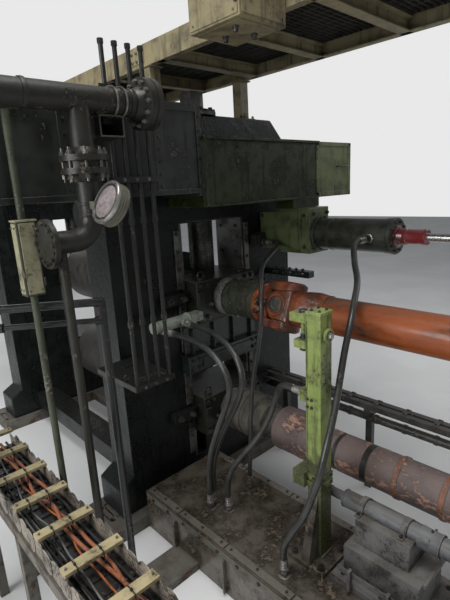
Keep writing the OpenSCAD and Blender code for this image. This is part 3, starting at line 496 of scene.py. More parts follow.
class Form:
    """A mesh built up from closed solids, all in the stand's own frame."""

    def __init__(self) -> None:
        """Starts an empty mesh."""
        self.mesh = bmesh.new()

    def box(self, corner: Point, other: Point) -> "Form":
        """Adds a box.

        Args:
            corner: any corner.
            other: the corner opposite to it.
        Returns:
            The form.
        """
        low = Vector([min(pair) for pair in zip(corner, other)])
        high = Vector([max(pair) for pair in zip(corner, other)])
        made = bmesh.ops.create_cube(self.mesh, size=1.0)["verts"]
        bmesh.ops.scale(self.mesh, vec=high - low, verts=made)
        bmesh.ops.translate(self.mesh, vec=(low + high) / 2, verts=made)
        return self

    def rod(self, start: Point, end: Point, radius: float, sides: int = 20,
            end_radius: float = 0.0) -> "Form":
        """Adds a straight bar of some flat sides, or a cone.

        Args:
            start: middle of one end.
            end: middle of the other end.
            radius: at its corners.
            sides: number of flat sides.
            end_radius: radius at the end, where it differs.
        Returns:
            The form.
        """
        start, end = Vector(start), Vector(end)
        line = end - start
        made = bmesh.ops.create_cone(self.mesh, cap_ends=True, segments=sides, radius1=radius,
                                     radius2=end_radius or radius, depth=line.length)["verts"]
        turn = line.to_track_quat("Z", "Y").to_matrix().to_4x4()
        bmesh.ops.transform(self.mesh, matrix=Matrix.Translation((start + end) / 2) @ turn, verts=made)
        return self

    def ball(self, centre: Point, radius: float, squash: Point) -> "Form":
        """Adds a ball.

        Args:
            centre: its centre.
            radius: its radius.
            squash: scale along each axis.
        Returns:
            The form.
        """
        made = bmesh.ops.create_uvsphere(self.mesh, u_segments=16, v_segments=10, radius=radius)["verts"]
        bmesh.ops.scale(self.mesh, vec=squash, verts=made)
        bmesh.ops.translate(self.mesh, vec=centre, verts=made)
        return self

    def turned(self, start: Point, aim: Point, outline: Outline, sides: int = 40,
               bore: float | None = 0.0) -> "Form":
        """Adds a turned piece.

        Args:
            start: the point on its axis where the outline's distance is 0.
            aim: direction of its axis.
            outline: pairs of distance along the axis and radius.
            sides: number of flat sides.
            bore: radius of the hole through it, 0 for none, or None for flat ends as the outline has them.
        Returns:
            This form.
        """
        ends = list(outline)
        if bore is not None and ends[0][1] != bore:
            ends.insert(0, (ends[0][0], bore))
        if bore is not None and ends[-1][1] != bore:
            ends.append((ends[-1][0], bore))
        turn = Vector(aim).to_track_quat("Z", "Y").to_matrix()
        rings = []
        for at, radius in ends:
            angles = [math.tau * k / sides for k in range(sides if radius else 1)]
            spots = [Vector((radius * math.cos(a), radius * math.sin(a), at)) for a in angles]
            rings.append([self.mesh.verts.new(Vector(start) + turn @ spot) for spot in spots])
        self._skin([*rings, rings[0]] if bore else rings, closed=not bore)
        return self

    def tube(self, path: Sequence[Point], radius: float, sides: int = 10) -> "Form":
        """Adds a round tube with closed ends.

        Args:
            path: points along its middle.
            radius: its radius.
            sides: number of sides.
        Returns:
            The form.
        """
        points = [Vector(p) for p in path]
        side = None
        rings = []
        for i, point in enumerate(points):
            aim = (points[min(i + 1, len(points) - 1)] - points[max(i - 1, 0)]).normalized()
            if side is None:
                side = aim.orthogonal().normalized()
            side = (side - aim * side.dot(aim)).normalized()
            other = aim.cross(side)
            angles = [math.tau * k / sides for k in range(sides)]
            rings.append([self.mesh.verts.new(point + (side * math.cos(a) + other * math.sin(a)) * radius)
                          for a in angles])
        self._skin(rings)
        return self

    def loft(self, sections: Sequence[Sequence[Point]]) -> "Form":
        """Adds a solid through sections of equal numbers of points, closed at both ends."""
        self._skin([[self.mesh.verts.new(spot) for spot in section] for section in sections])
        return self

    def _skin(self, rings: list[list[bmesh.types.BMVert]], closed: bool = True) -> None:
        """Joins rings of vertices with faces.

        Args:
            rings: the rings in order, or single points.
            closed: whether the ends get a face.
        """
        for first, second in zip(rings, rings[1:]):
            count = max(len(first), len(second))
            for k in range(count if count > 1 else 0):
                corners = [first[k % len(first)], first[(k + 1) % len(first)],
                           second[(k + 1) % len(second)], second[k % len(second)]]
                self.mesh.faces.new(list(dict.fromkeys(corners)))
        for ring, order in ((rings[0], -1), (rings[-1], 1)):
            if closed and len(ring) > 2:
                self.mesh.faces.new(ring[::order])

    def prism(self, outline: Outline, axis: str, low: float, high: float) -> "Form":
        """Adds a flat plate of any outline.

        Args:
            outline: its corners in the two axes other than the thickness, in the order X, Y, Z.
            axis: the axis of its thickness, "x", "y" or "z".
            low: where it starts on that axis.
            high: where it ends.
        Returns:
            This form.
        """
        order = {"x": (2, 0, 1), "y": (0, 2, 1), "z": (0, 1, 2)}[axis]
        return self.loft([[[(*spot, level)[k] for k in order] for spot in outline] for level in (low, high)])

    def turn(self, matrix: Matrix) -> "Form":
        """Moves all that the form holds by a matrix."""
        bmesh.ops.transform(self.mesh, matrix=matrix, verts=self.mesh.verts)
        return self

    def roughen(self, amount: float, scale: float, seed: int) -> "Form":
        """Moves every vertex by up to an amount of smooth noise, as on a caked surface.

        Args:
            amount: the most that a vertex moves, in metres.
            scale: waves of the noise in a metre.
            seed: what fixes the noise.
        Returns:
            The form.
        """
        noise.seed_set(seed)
        rng = random.Random(seed)
        shift = Vector((rng.uniform(0, 50), rng.uniform(0, 50), rng.uniform(0, 50)))
        for vert in self.mesh.verts:
            vert.co += noise.noise_vector(vert.co * scale + shift) * amount
        return self

    def piece(self, name: str, surface: Surface, body: str = "stand", bevel: float = 0.0,
              replaces: Sequence[str] = (), smooth: bool = True) -> bpy.types.Object:
        """Turns the form into a finished piece.

        Args:
            name: the piece's name.
            surface: its finish.
            body: the body that it rides on.
            bevel: width of its rounded edges, or 0.
            replaces: the nodes that it stands for.
            smooth: whether gentle edges are shaded smooth.
        Returns:
            The piece.
        """
        bmesh.ops.recalc_face_normals(self.mesh, faces=self.mesh.faces)
        data = bpy.data.meshes.new(name)
        self.mesh.to_mesh(data)
        self.mesh.free()
        return settle(put(name, data), surface, body, bevel, replaces, smooth)


def settle(thing: bpy.types.Object, surface: Surface, body: str, bevel: float = 0.0,
           replaces: Sequence[str] = (), smooth: bool = True) -> bpy.types.Object:
    """Gives a mesh its finish, body and rounded edges.

    Args:
        thing: the mesh object.
        surface: its finish.
        body: the body that it rides on.
        bevel: width of its rounded edges, or 0.
        replaces: the nodes that it stands for.
        smooth: whether gentle edges are shaded smooth.
    Returns:
        The same object.
    """
    coat(thing, surface)
    if smooth:
        thing.data.shade_smooth()
        thing.data.set_sharp_from_angle(angle=SMOOTH_ANGLE)
    if bevel:
        soften(thing, bevel)
    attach(thing, body)
    if replaces:
        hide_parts(*replaces)
    LOG.info("%s: %d faces, %s, on %s", thing.name, len(thing.data.polygons), surface.value.name, body)
    return thing


def coat(thing: bpy.types.Object, surface: Surface) -> None:
    """Gives an object's mesh one finish."""
    thing.data.materials.clear()
    thing.data.materials.append(surface.material())


def soften(thing: bpy.types.Object, width: float) -> None:
    """Rounds an object's sharp edges.

    Args:
        thing: the object.
        width: how wide the edges get.
    """
    cut = thing.modifiers.new("rounded", "BEVEL")
    cut.width = width
    cut.segments = 2
    cut.limit_method = "ANGLE"
    cut.angle_limit = SMOOTH_ANGLE


def dress(node: str, surface: Surface, bevel: float) -> None:
    """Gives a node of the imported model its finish.

    Args:
        node: the node's name.
        surface: its finish.
        bevel: width of its rounded edges, or 0.
    """
    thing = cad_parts[node]
    coat(thing, surface)
    if bevel:
        thing.modifiers.new("weld", "WELD").merge_threshold = WELD_GAP
        soften(thing, bevel)
    LOG.info("%s: %s", node, surface.value.name)


class Spreader:
    """A Geometry Nodes tree that sets copies of a shape at marked places, each with its own aim."""

    def __init__(self, name: str, **inputs: float | int | Point) -> None:
        """Starts the tree with its inputs and the finish.

        Args:
            name: the tree's name.
            inputs: first values of its inputs, by name.
        """
        self.tree = bpy.data.node_groups.new(name, "GeometryNodeTree")
        face = self.tree.interface
        face.new_socket("Geometry", in_out="INPUT", socket_type="NodeSocketGeometry")
        kinds = {float: "NodeSocketFloat", int: "NodeSocketInt", tuple: "NodeSocketVector"}
        for key, value in inputs.items():
            face.new_socket(key, in_out="INPUT", socket_type=kinds[type(value)]).default_value = value
        face.new_socket("finish", in_out="INPUT", socket_type="NodeSocketMaterial")
        face.new_socket("Geometry", in_out="OUTPUT", socket_type="NodeSocketGeometry")
        self.given = self.node("NodeGroupInput").outputs

    def node(self, kind: str, settings: dict | None = None, sockets: dict | None = None) -> bpy.types.Node:
        """Adds a node with its settings and its inputs' values or links."""
        return grow(self.tree, kind, settings, sockets)

    def join(self, parts: Iterable[bpy.types.NodeSocket]) -> bpy.types.NodeSocket:
        """Joins geometries into one.

        Args:
            parts: the geometries.
        Returns:
            The joined geometry.
        """
        node = self.node("GeometryNodeJoinGeometry")
        for part in parts:
            self.tree.links.new(part, node.inputs[0])
        return node.outputs[0]

    def aimed(self) -> bpy.types.NodeSocket:
        """Makes the turn that points the shape's Z axis along the attribute "aim".

        Returns:
            The turn.
        """
        aim = self.node("GeometryNodeInputNamedAttribute", {"data_type": "FLOAT_VECTOR"}, {"Name": "aim"})
        turn = self.node("FunctionNodeAlignRotationToVector", {"axis": "Z"}, {"Vector": aim.outputs[0]})
        return turn.outputs[0]

    def close(self, shape: bpy.types.NodeSocket, turn: bpy.types.NodeSocket | None = None) -> None:
        """Sets the shape at every place, with the finish on it, and ends the tree.

        Args:
            shape: the geometry.
            turn: how it is turned at each place, if at all.
        """
        sockets = {"Points": self.given["Geometry"], "Instance": shape}
        if turn is not None:
            sockets["Rotation"] = turn
        each = self.node("GeometryNodeInstanceOnPoints", None, sockets)
        real = self.node("GeometryNodeRealizeInstances", None, {0: each.outputs[0]})
        coated = self.node("GeometryNodeSetMaterial", None,
                           {"Geometry": real.outputs[0], "Material": self.given["finish"]})
        self.node("NodeGroupOutput", None, {0: coated.outputs[0]})

    def spread(self, name: str, places: Iterable[Place], surface: Surface, body: str,
               **sizes: float | Point) -> bpy.types.Object:
        """Runs the tree on marked places and keeps the plain mesh.

        Args:
            name: the piece's name.
            places: pairs of a point and the direction at it, kept as the attribute "aim".
            surface: the piece's finish.
            body: the body that it rides on.
            sizes: values of the tree's inputs.
        Returns:
            The piece.
        """
        pairs = list(places)
        seed = bpy.data.meshes.new(name + "_places")
        seed.from_pydata([tuple(spot) for spot, _ in pairs], [], [])
        aims = seed.attributes.new("aim", "FLOAT_VECTOR", "POINT")
        aims.data.foreach_set("vector", [part for _, aim in pairs for part in Vector(aim).normalized()])
        holder = put(name + "_places", seed)
        runner = holder.modifiers.new("tree", "NODES")
        runner.node_group = self.tree
        items = self.tree.interface.items_tree
        keys = {item.name: item.identifier for item in items if item.in_out == "INPUT"}
        for key, value in {**sizes, "finish": surface.material()}.items():
            runner[keys[key]] = value
        bpy.context.view_layer.update()
        shown = holder.evaluated_get(bpy.context.evaluated_depsgraph_get())
        data = bpy.data.meshes.new_from_object(shown)
        data.name = name
        bpy.data.objects.remove(holder)
        return settle(put(name, data), surface, body)


class Head(Enum):
    """Kinds of fastener: sides of the head, its height and its washer's width, as shares of its width."""

    HEX = (6, 0.62, 1.25)
    STUD = (6, 0.80, 1.2)
    SOCKET = (20, 0.66, 1.0)
    RIVET = (12, 0.35, 1.0)


class Fasteners(Spreader):
    """Heads with a washer and a shank, each turned at random about its aim.

    The washer's height and the shank's width are shares of the head's width.
    """

    SEED = 7
    WASHER_TALL = 0.1
    SHANK_WIDE = 0.6

    def __init__(self) -> None:
        """Builds the tree."""
        super().__init__("fasteners", sides=6, head=0.03, head_tall=0.02, washer=0.04, washer_tall=0.004,
                         shank=0.016, shank_tall=0.03)
        given = self.given
        shape = self.join([self.bar(given["sides"], given["head"], given["head_tall"], given["washer_tall"]),
                           self.bar(20, given["washer"], given["washer_tall"], 0.0),
                           self.bar(12, given["shank"], given["shank_tall"], 0.0)])
        turn = self.aimed()
        spin = self.node("FunctionNodeRandomValue", {"data_type": "FLOAT_VECTOR"},
                         {0: (0.0, 0.0, 0.0), 1: (0.0, 0.0, math.tau), "Seed": self.SEED})
        roll = self.node("FunctionNodeEulerToRotation", None, {0: spin.outputs[0]})
        both = self.node("FunctionNodeRotateRotation", {"rotation_space": "LOCAL"},
                         {0: turn, 1: roll.outputs[0]})
        self.close(shape, both.outputs[0])

    def bar(self, sides: object, width: object, height: object, base: object) -> bpy.types.NodeSocket:
        """Makes a many-sided bar that stands on the place. Each argument is a number or a link.

        Args:
            sides: number of sides.
            width: its width over the corners.
            height: its height.
            base: height of its foot over the place.
        Returns:
            The bar's geometry.
        """
        radius = self.node("ShaderNodeMath", {"operation": "MULTIPLY"}, {0: width, 1: 0.5})
        body = self.node("GeometryNodeMeshCylinder", None,
                         {"Vertices": sides, "Radius": radius.outputs[0], "Depth": height})
        middle = self.node("ShaderNodeMath", {"operation": "MULTIPLY_ADD"}, {0: height, 1: 0.5, 2: base})
        lift = self.node("ShaderNodeCombineXYZ", None, {2: middle.outputs[0]})
        move = self.node("GeometryNodeTransform", None, {0: body.outputs[0], "Translation": lift.outputs[0]})
        return move.outputs[0]

    def set(self, name: str, places: Iterable[Place], width: float, head: Head = Head.HEX,
            surface: Surface = Surface.DARK_BOLT, body: str = "stand",
            shank: float = 0.0) -> bpy.types.Object:
        """Sets one group of fasteners.

        Args:
            name: the piece's name.
            places: pairs of the seat's centre and the direction out of it.
            width: width of a head across its flats.
            head: the kind of head.
            surface: its finish.
            body: the body that it rides on.
            shank: how far the shank stands past the head.
        Returns:
            The piece.
        """
        sides, tall, washer = head.value
        height = width * tall
        base = width * self.WASHER_TALL
        corners = HEX_CORNERS if sides == 6 else 1.0
        return self.spread(name, places, surface, body, sides=sides, head=width * corners, head_tall=height,
                           washer=width * washer * corners, washer_tall=base, shank=width * self.SHANK_WIDE,
                           shank_tall=base + height + shank - (0.0 if shank else 0.5 * height))


def ring(centre: Point, axis: Point, radius: float, count: int, start: float = 0.0) -> list[Place]:
    """Places on a bolt circle.

    Args:
        centre: the circle's centre.
        axis: its axis, which the fasteners point along.
        radius: its radius.
        count: number of places.
        start: angle of the first one, in degrees.
    Returns:
        The places.
    """
    turn = Vector(axis).to_track_quat("Z", "Y").to_matrix()
    angles = [math.radians(start) + math.tau * k / count for k in range(count)]
    spots = [Vector((radius * math.cos(a), radius * math.sin(a), 0)) for a in angles]
    return [(Vector(centre) + turn @ spot, axis) for spot in spots]


def row(first: Point, last: Point, count: int, aim: Point) -> list[Place]:
    """Places at equal steps from one point to another."""
    first, last = Vector(first), Vector(last)
    return [(first.lerp(last, k / max(1, count - 1)), aim) for k in range(count)]


def grid(xs: object, ys: object, zs: object, aim: Point) -> list[Place]:
    """Places at every mix of the given x, y and z, where each is one number or several."""
    several = [values if isinstance(values, (tuple, list)) else (values,) for values in (xs, ys, zs)]
    return [(spot, aim) for spot in itertools.product(*several)]


def arc(radius: float, degrees: Iterable[float]) -> list[tuple[float, float]]:
    """Points on a circle about the origin, at some angles."""
    return [(radius * math.cos(math.radians(k)), radius * math.sin(math.radians(k))) for k in degrees]


def spokes(y: float, z: float, radius: float, count: int) -> list[Place]:
    """Places round a line's axis that point away from it, at equal angles from +X."""
    ways = [(math.cos(k * math.tau / count), 0, math.sin(k * math.tau / count)) for k in range(count)]
    return [(Vector((0, y, z)) + Vector(way) * radius, way) for way in ways]


def smooth_path(points: Sequence[Point], steps: int) -> list[Vector]:
    """Makes a smooth curve through points.

    Args:
        points: the points.
        steps: number of steps from one to the next.
    Returns:
        The curve's points.
    """
    spots = [Vector(p) for p in points]
    padded = [spots[0] * 2 - spots[1], *spots, spots[-1] * 2 - spots[-2]]
    line = []
    for a, b, c, d in zip(padded, padded[1:], padded[2:], padded[3:]):
        for k in range(steps):
            t = k / steps
            line.append(0.5 * ((2 * b) + (c - a) * t + (2 * a - 5 * b + 4 * c - d) * t * t
                               + (3 * b - a - 3 * c + d) * t * t * t))
    return [*line, spots[-1]]


def ends(node: str) -> tuple[Vector, Vector]:
    """Lowest and highest corner of a node."""
    bottom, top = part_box(node)
    return Vector(bottom), Vector(top)


def low(node: str) -> Vector:
    """Lowest corner of a node."""
    return ends(node)[0]


def high(node: str) -> Vector:
    """Highest corner of a node."""
    return ends(node)[1]


@dataclass
class Room:
    """The camera, the floor, the lights and the pale background."""

    camera_at: Point = (-2.660, -4.450, 2.750)
    heading: float = 47.35
    pitch: float = 13.96
    roll: float = 3.2
    lens: float = 27.0
    floor_size: float = 60.0
    pale: Colour = (0.82, 0.825, 0.82)

    def set_camera(self) -> None:
        """Places the camera where the photograph was taken from."""
        data = bpy.data.cameras.new("camera")
        data.lens = self.lens
        data.sensor_width = 36.0
        data.clip_end = 200.0
        turn, dip, lean = (math.radians(angle) for angle in (self.heading, self.pitch, self.roll))
        forward = Vector((math.cos(turn) * math.cos(dip), math.sin(turn) * math.cos(dip), -math.sin(dip)))
        right = Vector((math.sin(turn), -math.cos(turn), 0.0))
        up = right.cross(forward)
        across = right * math.cos(lean) - up * math.sin(lean)
        upright = up * math.cos(lean) + right * math.sin(lean)
        matrix = Matrix((across, upright, -forward)).transposed().to_4x4()
        matrix.translation = Vector(self.camera_at)
        camera = put("camera", data)
        camera.matrix_world = matrix
        bpy.context.scene.camera = camera

    def lay_floor(self) -> None:
        """Makes the plain floor."""
        half = self.floor_size / 2
        data = bpy.data.meshes.new("floor")
        corners = [(-half, -half, 0), (half, -half, 0), (half, half, 0), (-half, half, 0)]
        data.from_pydata(corners, [], [range(4)])
        s = Shader("pale_floor")
        tone = s.mix(self.pale, tuple(part * 0.94 for part in self.pale), s.noise(0.8).above(0.4, 0.6))
        data.materials.append(s.finish({"Base Color": tone, "Roughness": 0.8, "Specular IOR Level": 0.2}))
        put("floor", data)

    def light(self) -> None:
        """Sets soft lamps and the world."""
        for name, place, aim, size, power in (
            ("window_light", (6.5, -5.5, 6.0), (0.0, -1.0, 1.5), 4.0, 80.0),
            ("fill_light", (-8.5, -2.0, 4.6), (-0.6, -1.5, 1.6), 5.0, 450.0),
            ("back_light", (1.0, 7.5, 6.5), (0.0, 0.0, 2.0), 5.0, 110.0),
            ("roof_light", (-1.6, -3.4, 9.0), (-0.6, -2.0, 1.0), 4.2, 390.0),
        ):
            data = bpy.data.lights.new(name, "AREA")
            data.shape = "DISK"
            data.size = size
            data.energy = power
            lamp = put(name, data)
            lamp.location = place
            lamp.rotation_mode = "QUATERNION"
            lamp.rotation_quaternion = (Vector(aim) - Vector(place)).to_track_quat("-Z", "Y")
        world = bpy.data.worlds.new("pale_room")
        bpy.context.scene.world = world
        world.use_nodes = True
        tree = world.node_tree
        tree.nodes.clear()
        path = grow(tree, "ShaderNodeLightPath").outputs
        seen = grow(tree, "ShaderNodeMath", {"operation": "MAXIMUM"},
                    {0: path["Is Camera Ray"], 1: path["Is Transmission Ray"]})
        glow, wall = (grow(tree, "ShaderNodeBackground", None, {"Color": colour, "Strength": power})
                      for colour, power in (((0.93, 0.96, 1.0), 0.22), ((0.90, 0.905, 0.90), 0.9)))
        both = grow(tree, "ShaderNodeMixShader", None,
                    {0: seen.outputs[0], 1: glow.outputs[0], 2: wall.outputs[0]})
        grow(tree, "ShaderNodeOutputWorld", None, {0: both.outputs[0]})
        bpy.context.scene.view_settings.view_transform = "Standard"


@dataclass
class Hoses:
    """The free hoses. Each route is in metres and runs from gland to gland."""

    wide: float = 0.044
    slim: float = 0.036
    ferrule: float = 0.075

    ROUTES = {
        "hose_a": [(-0.740, -1.700, 1.690), (-0.740, -1.800, 1.690), (-0.740, -1.920, 1.690),
            (-0.740, -2.050, 1.680), (-0.745, -2.170, 1.655), (-0.750, -2.270, 1.605),
            (-0.750, -2.345, 1.530), (-0.752, -2.372, 1.420), (-0.755, -2.340, 1.300),
            (-0.760, -2.275, 1.160), (-0.762, -2.205, 1.000), (-0.765, -2.145, 0.840),
            (-0.765, -2.110, 0.680), (-0.765, -2.100, 0.540), (-0.765, -2.100, 0.390)],
        "hose_b": [(-0.560, -1.700, 1.720), (-0.560, -1.800, 1.720), (-0.568, -1.920, 1.720),
            (-0.580, -2.040, 1.710), (-0.597, -2.160, 1.686), (-0.612, -2.265, 1.640),
            (-0.628, -2.345, 1.570), (-0.642, -2.388, 1.480), (-0.655, -2.380, 1.365),
            (-0.668, -2.325, 1.230), (-0.682, -2.250, 1.090), (-0.697, -2.180, 0.940),
            (-0.708, -2.130, 0.800), (-0.715, -2.100, 0.660), (-0.715, -2.090, 0.530),
            (-0.715, -2.090, 0.390)],
        "loop_hose": [(-0.560, -2.850, 1.480), (-0.560, -2.780, 1.480), (-0.545, -2.690, 1.470),
            (-0.515, -2.615, 1.420), (-0.500, -2.565, 1.330), (-0.510, -2.530, 1.210),
            (-0.550, -2.490, 1.090), (-0.595, -2.430, 0.970), (-0.640, -2.350, 0.850),
            (-0.680, -2.265, 0.700), (-0.690, -2.225, 0.540), (-0.690, -2.225, 0.390)],
        "feed_hose": [(0.540, -2.620, 2.300), (0.460, -2.620, 2.300), (0.370, -2.640, 2.284),
            (0.200, -2.740, 2.190), (0.030, -2.865, 2.085), (-0.130, -2.940, 1.985), (-0.260, -2.990, 1.865),
            (-0.350, -3.012, 1.735), (-0.430, -3.035, 1.605), (-0.520, -3.065, 1.480),
            (-0.620, -3.095, 1.360), (-0.700, -3.110, 1.240), (-0.755, -3.108, 1.110),
            (-0.795, -3.080, 0.965), (-0.822, -3.035, 0.820), (-0.848, -2.962, 0.675),
            (-0.860, -2.910, 0.540), (-0.860, -2.910, 0.390)],
        "drain_hose": [(0.560, -1.590, 2.230), (0.560, -1.650, 2.230), (0.543, -1.718, 2.228),
            (0.485, -1.782, 2.220), (0.330, -1.860, 2.190), (0.200, -1.915, 2.160), (0.060, -1.990, 2.130),
            (-0.070, -2.080, 2.090), (-0.170, -2.165, 2.030), (-0.240, -2.225, 1.930),
            (-0.268, -2.245, 1.800), (-0.280, -2.230, 1.660), (-0.290, -2.205, 1.500),
            (-0.305, -2.180, 1.340), (-0.320, -2.165, 1.170), (-0.336, -2.158, 1.000),
            (-0.352, -2.160, 0.830), (-0.370, -2.165, 0.660), (-0.390, -2.170, 0.520),
            (-0.390, -2.170, 0.390)],
    }

    def build(self) -> None:
        """Makes each hose and the ferrules that hold its ends."""
        for name, route in self.ROUTES.items():
            self.lay(name, route, self.slim if name == "drain_hose" else self.wide)

    def lay(self, name: str, route: list[tuple], width: float) -> None:
        """Lays one hose as a curve through its route.

        Args:
            name: the node that it stands for.
            route: its points.
            width: its diameter.
        """
        data = bpy.data.curves.new(name + "_rubber", "CURVE")
        data.dimensions = "3D"
        data.resolution_u = 8
        data.bevel_depth = width / 2
        data.bevel_resolution = 4
        data.use_fill_caps = True
        line = data.splines.new("BEZIER")
        line.bezier_points.add(len(route) - 1)
        for spot, place in zip(line.bezier_points, route):
            spot.co = place
            spot.handle_left_type = spot.handle_right_type = "AUTO"
        thing = put(name + "_rubber", data)
        bpy.context.view_layer.update()
        data.materials.append(Surface.HOSE.material())
        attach(thing, "stand")
        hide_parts(name)
        self.length(line)
        for end, place, inner in (("start", route[0], route[1]), ("end", route[-1], route[-2])):
            self.fit(f"{name}_ferrule_{end}", Vector(place), Vector(inner), width)
        LOG.info("%s: %.3f m long, %.3f m wide", thing.name, self.length(line), width)

    def length(self, line: bpy.types.Spline) -> float:
        """Measures a curve along its middle.

        Args:
            line: the curve's spline.
        Returns:
            Its length in metres.
        """
        total = 0.0
        for a, b in zip(line.bezier_points, list(line.bezier_points)[1:]):
            spots = interpolate_bezier(a.co, a.handle_right, b.handle_left, b.co, 9)
            total += sum((q - p).length for p, q in zip(spots, spots[1:]))
        return total

    def fit(self, name: str, place: Vector, inner: Vector, width: float) -> None:
        """Makes the swaged ferrule and nut on a hose's end.

        Args:
            name: the piece's name.
            place: where the hose meets its gland.
            inner: a point further along the hose.
            width: the hose's diameter.
        """
        aim = (inner - place).normalized()
        r = width / 2
        swage = ((0, 0.007), (0.2, 0.007), (0.24, 0.004), (0.4, 0.004), (0.43, 0.0022), (0.5, 0.0022),
                 (0.53, 0.004), (0.68, 0.004), (0.71, 0.0022), (0.78, 0.0022), (0.81, 0.004), (1, 0.003))
        outline = [(self.ferrule * at, r + rise) for at, rise in swage]
        form = Form().turned(place + aim * 0.003, aim, outline, 20)
        form.rod(place + aim * 0.001, place + aim * 0.019, r + 0.010, 6)
        form.piece(name, Surface.SILVER)


# Heights of the two rolls' axes.
TOP_Z, BOTTOM_Z = 1.82, 0.76


@dataclass
class StandTrim:
    """Fasteners, plates and covers on the housings, the chocks and the feet."""

    bolts: Fasteners
    strip_width: float = 0.055
    strip_t: float = 0.014
    liner_t: float = 0.020
    thread_pitch: float = 0.018
    nut_flange: float = 0.40
    trunnion: float = 0.17
    flank: float = 1.04

    def build(self) -> None:
        """Makes every piece of the trim."""
        self.face = {-1: low("housing_ds").y, 1: high("housing_os").y}
        inner = {-1: high("housing_ds").y, 1: low("housing_os").y}
        self.middle = {side: (self.face[side] + inner[side]) / 2 for side in BOTH}
        self.window = high("liners").x
        self.wear_strips()
        self.screw_nuts()
        self.tie_nuts()
        self.keeper_bolts()
        self.chock_fittings()
        self.end_caps()
        self.beam_bolts()

    def wear_strips(self) -> None:
        """Bolted strips beside the windows on the outer faces, and the liners' screws."""
        strips = Form()
        heads: list[Place] = []
        bottom, top = low("liners").z + 0.06, high("liners").z - 0.05
        runs = ((bottom, 0.735), (0.875, 1.185), (1.375, 1.795), (1.935, top))
        for side, s in itertools.product(BOTH, BOTH):
            face = self.face[side]
            out = face + side * self.strip_t
            near, far = s * (self.window + 0.012), s * (self.window + 0.012 + self.strip_width)
            for start, end in runs:
                strips.box((near, face, start), (far, out, end))
                heads += row(((near + far) / 2, out, start + 0.03), ((near + far) / 2, out, end - 0.03),
                             max(2, round((end - start) / 0.12)), (0, side, 0))
            for y in (self.middle[side] - 0.1, self.middle[side] + 0.1):
                x = s * (self.window - self.liner_t)
                heads += row((x, y, 0.45), (x, y, 2.4), 9, (-s, 0, 0))
        strips.piece("wear_strips", Surface.LINER, bevel=0.002)
        self.bolts.set("wear_strip_bolts", heads, 0.022)

    def screw_nuts(self) -> None:
        """Flanged nuts where the adjusting screws leave the housings, and the thread below the heads."""
        nuts = Form()
        threads = Form()
        heads: list[Place] = []
        top = high("housing_ds").z
        start = high("chock_top_ds").z + 0.06
        r = self.nut_flange / 2
        for y in self.middle.values():
            nuts.turned((0, y, top), UP,
                        [(0, r), (0.028, r), (0.034, r - 0.006), (0.034, 0.155), (0.055, 0.145)],
                        48, bore=0.112)
            heads += ring((0, y, top + 0.034), UP, 0.178, 10)
            for k in range(24):
                threads.turned((0, y, start + self.thread_pitch * k), UP,
                               [(0, 0.1095), (0.004, 0.1145), (0.009, 0.1145), (0.013, 0.1095)], bore=None)
        nuts.piece("screw_nuts", Surface.DISC)
        threads.piece("screw_threads", Surface.SCREW)
        self.bolts.set("screw_nut_bolts", heads, 0.034)

    def tie_nuts(self) -> None:
        """Nuts of the tie rods and the lifting trunnions on the housings."""
        spots: list[Place] = []
        pads = Form()
        x = (high("housing_ties").x + 0.64) / 2
        r = self.trunnion / 2
        for side, s in itertools.product(BOTH, BOTH):
            shown = {(-1, -1): (), (-1, 1): (0.27,)}.get((side, s), (0.27, 2.85))
            for z in shown:
                pads.turned((s * x, self.face[side], z), (0, side, 0),
                            [(0, 0.105), (0.016, 0.105), (0.022, 0.098)], 36)
                spots.append(((s * x, self.face[side] + side * 0.022, z), (0, side, 0)))
            pads.turned((s * self.flank, self.middle[side], 2.62), (s, 0, 0), [
                (0, r + 0.02), (0.014, r), (0.075, r), (0.077, r + 0.018), (0.098, r + 0.018),
                (0.104, r + 0.010)], 36)
        pads.piece("trunnions_and_pads", Surface.CASTING)
        self.bolts.set("tie_rod_nuts", spots, 0.12, Head.STUD, shank=0.045)

    def keeper_bolts(self) -> None:
        """Bolts on the chock keepers."""
        spots: list[Place] = []
        near, far = low("keepers").y, high("keepers").y
        for z, s, x in itertools.product((TOP_Z + 0.045, BOTTOM_Z + 0.045), BOTH, (0.43, 0.56)):
            spots += [((s * x, near, z), FRONT), ((s * x, far, z), BACK)]
        self.bolts.set("keeper_bolts", spots, 0.044, shank=0.016)

    def chock_fittings(self) -> None:
        """Face bolts, ribs, lifting eyes and grease nipples of the chocks."""
        heads: list[Place] = []
        studs: list[Place] = []
        ribs = Form()
        for node in ("chock_top_ds", "chock_bottom_ds", "chock_top_os", "chock_bottom_os"):
            a, b = ends(node)
            side = -1 if a.y < 0 else 1
            y = a.y if side < 0 else b.y
            heads += grid((-0.31, -0.235, 0.235, 0.31), y, (a.z + 0.04, b.z - 0.04), (0, side, 0))
            studs += ring((0, y, (a.z + b.z) / 2), (0, side, 0), 0.21, 2, 8)
            for s in BOTH:
                ribs.box((s * 0.345, y, a.z + 0.09), (s * 0.285, y + side * 0.022, b.z - 0.09))
            eye = y - side * 0.07
            bow = arc(0.032, range(-50, 231, 20))
            for x in (-0.24, 0.24):
                ribs.rod((x, eye, b.z - 0.005), (x, eye, b.z + 0.018), 0.035)
                ribs.tube([(x + u, eye, b.z + 0.035 + w) for u, w in bow], 0.009, 8)
        ribs.piece("chock_ribs", Surface.CHOCK, bevel=0.004)
        self.bolts.set("chock_bolts", heads, 0.036)
        self.bolts.set("chock_studs", studs, 0.026, Head.STUD, Surface.BOLT, shank=0.012)

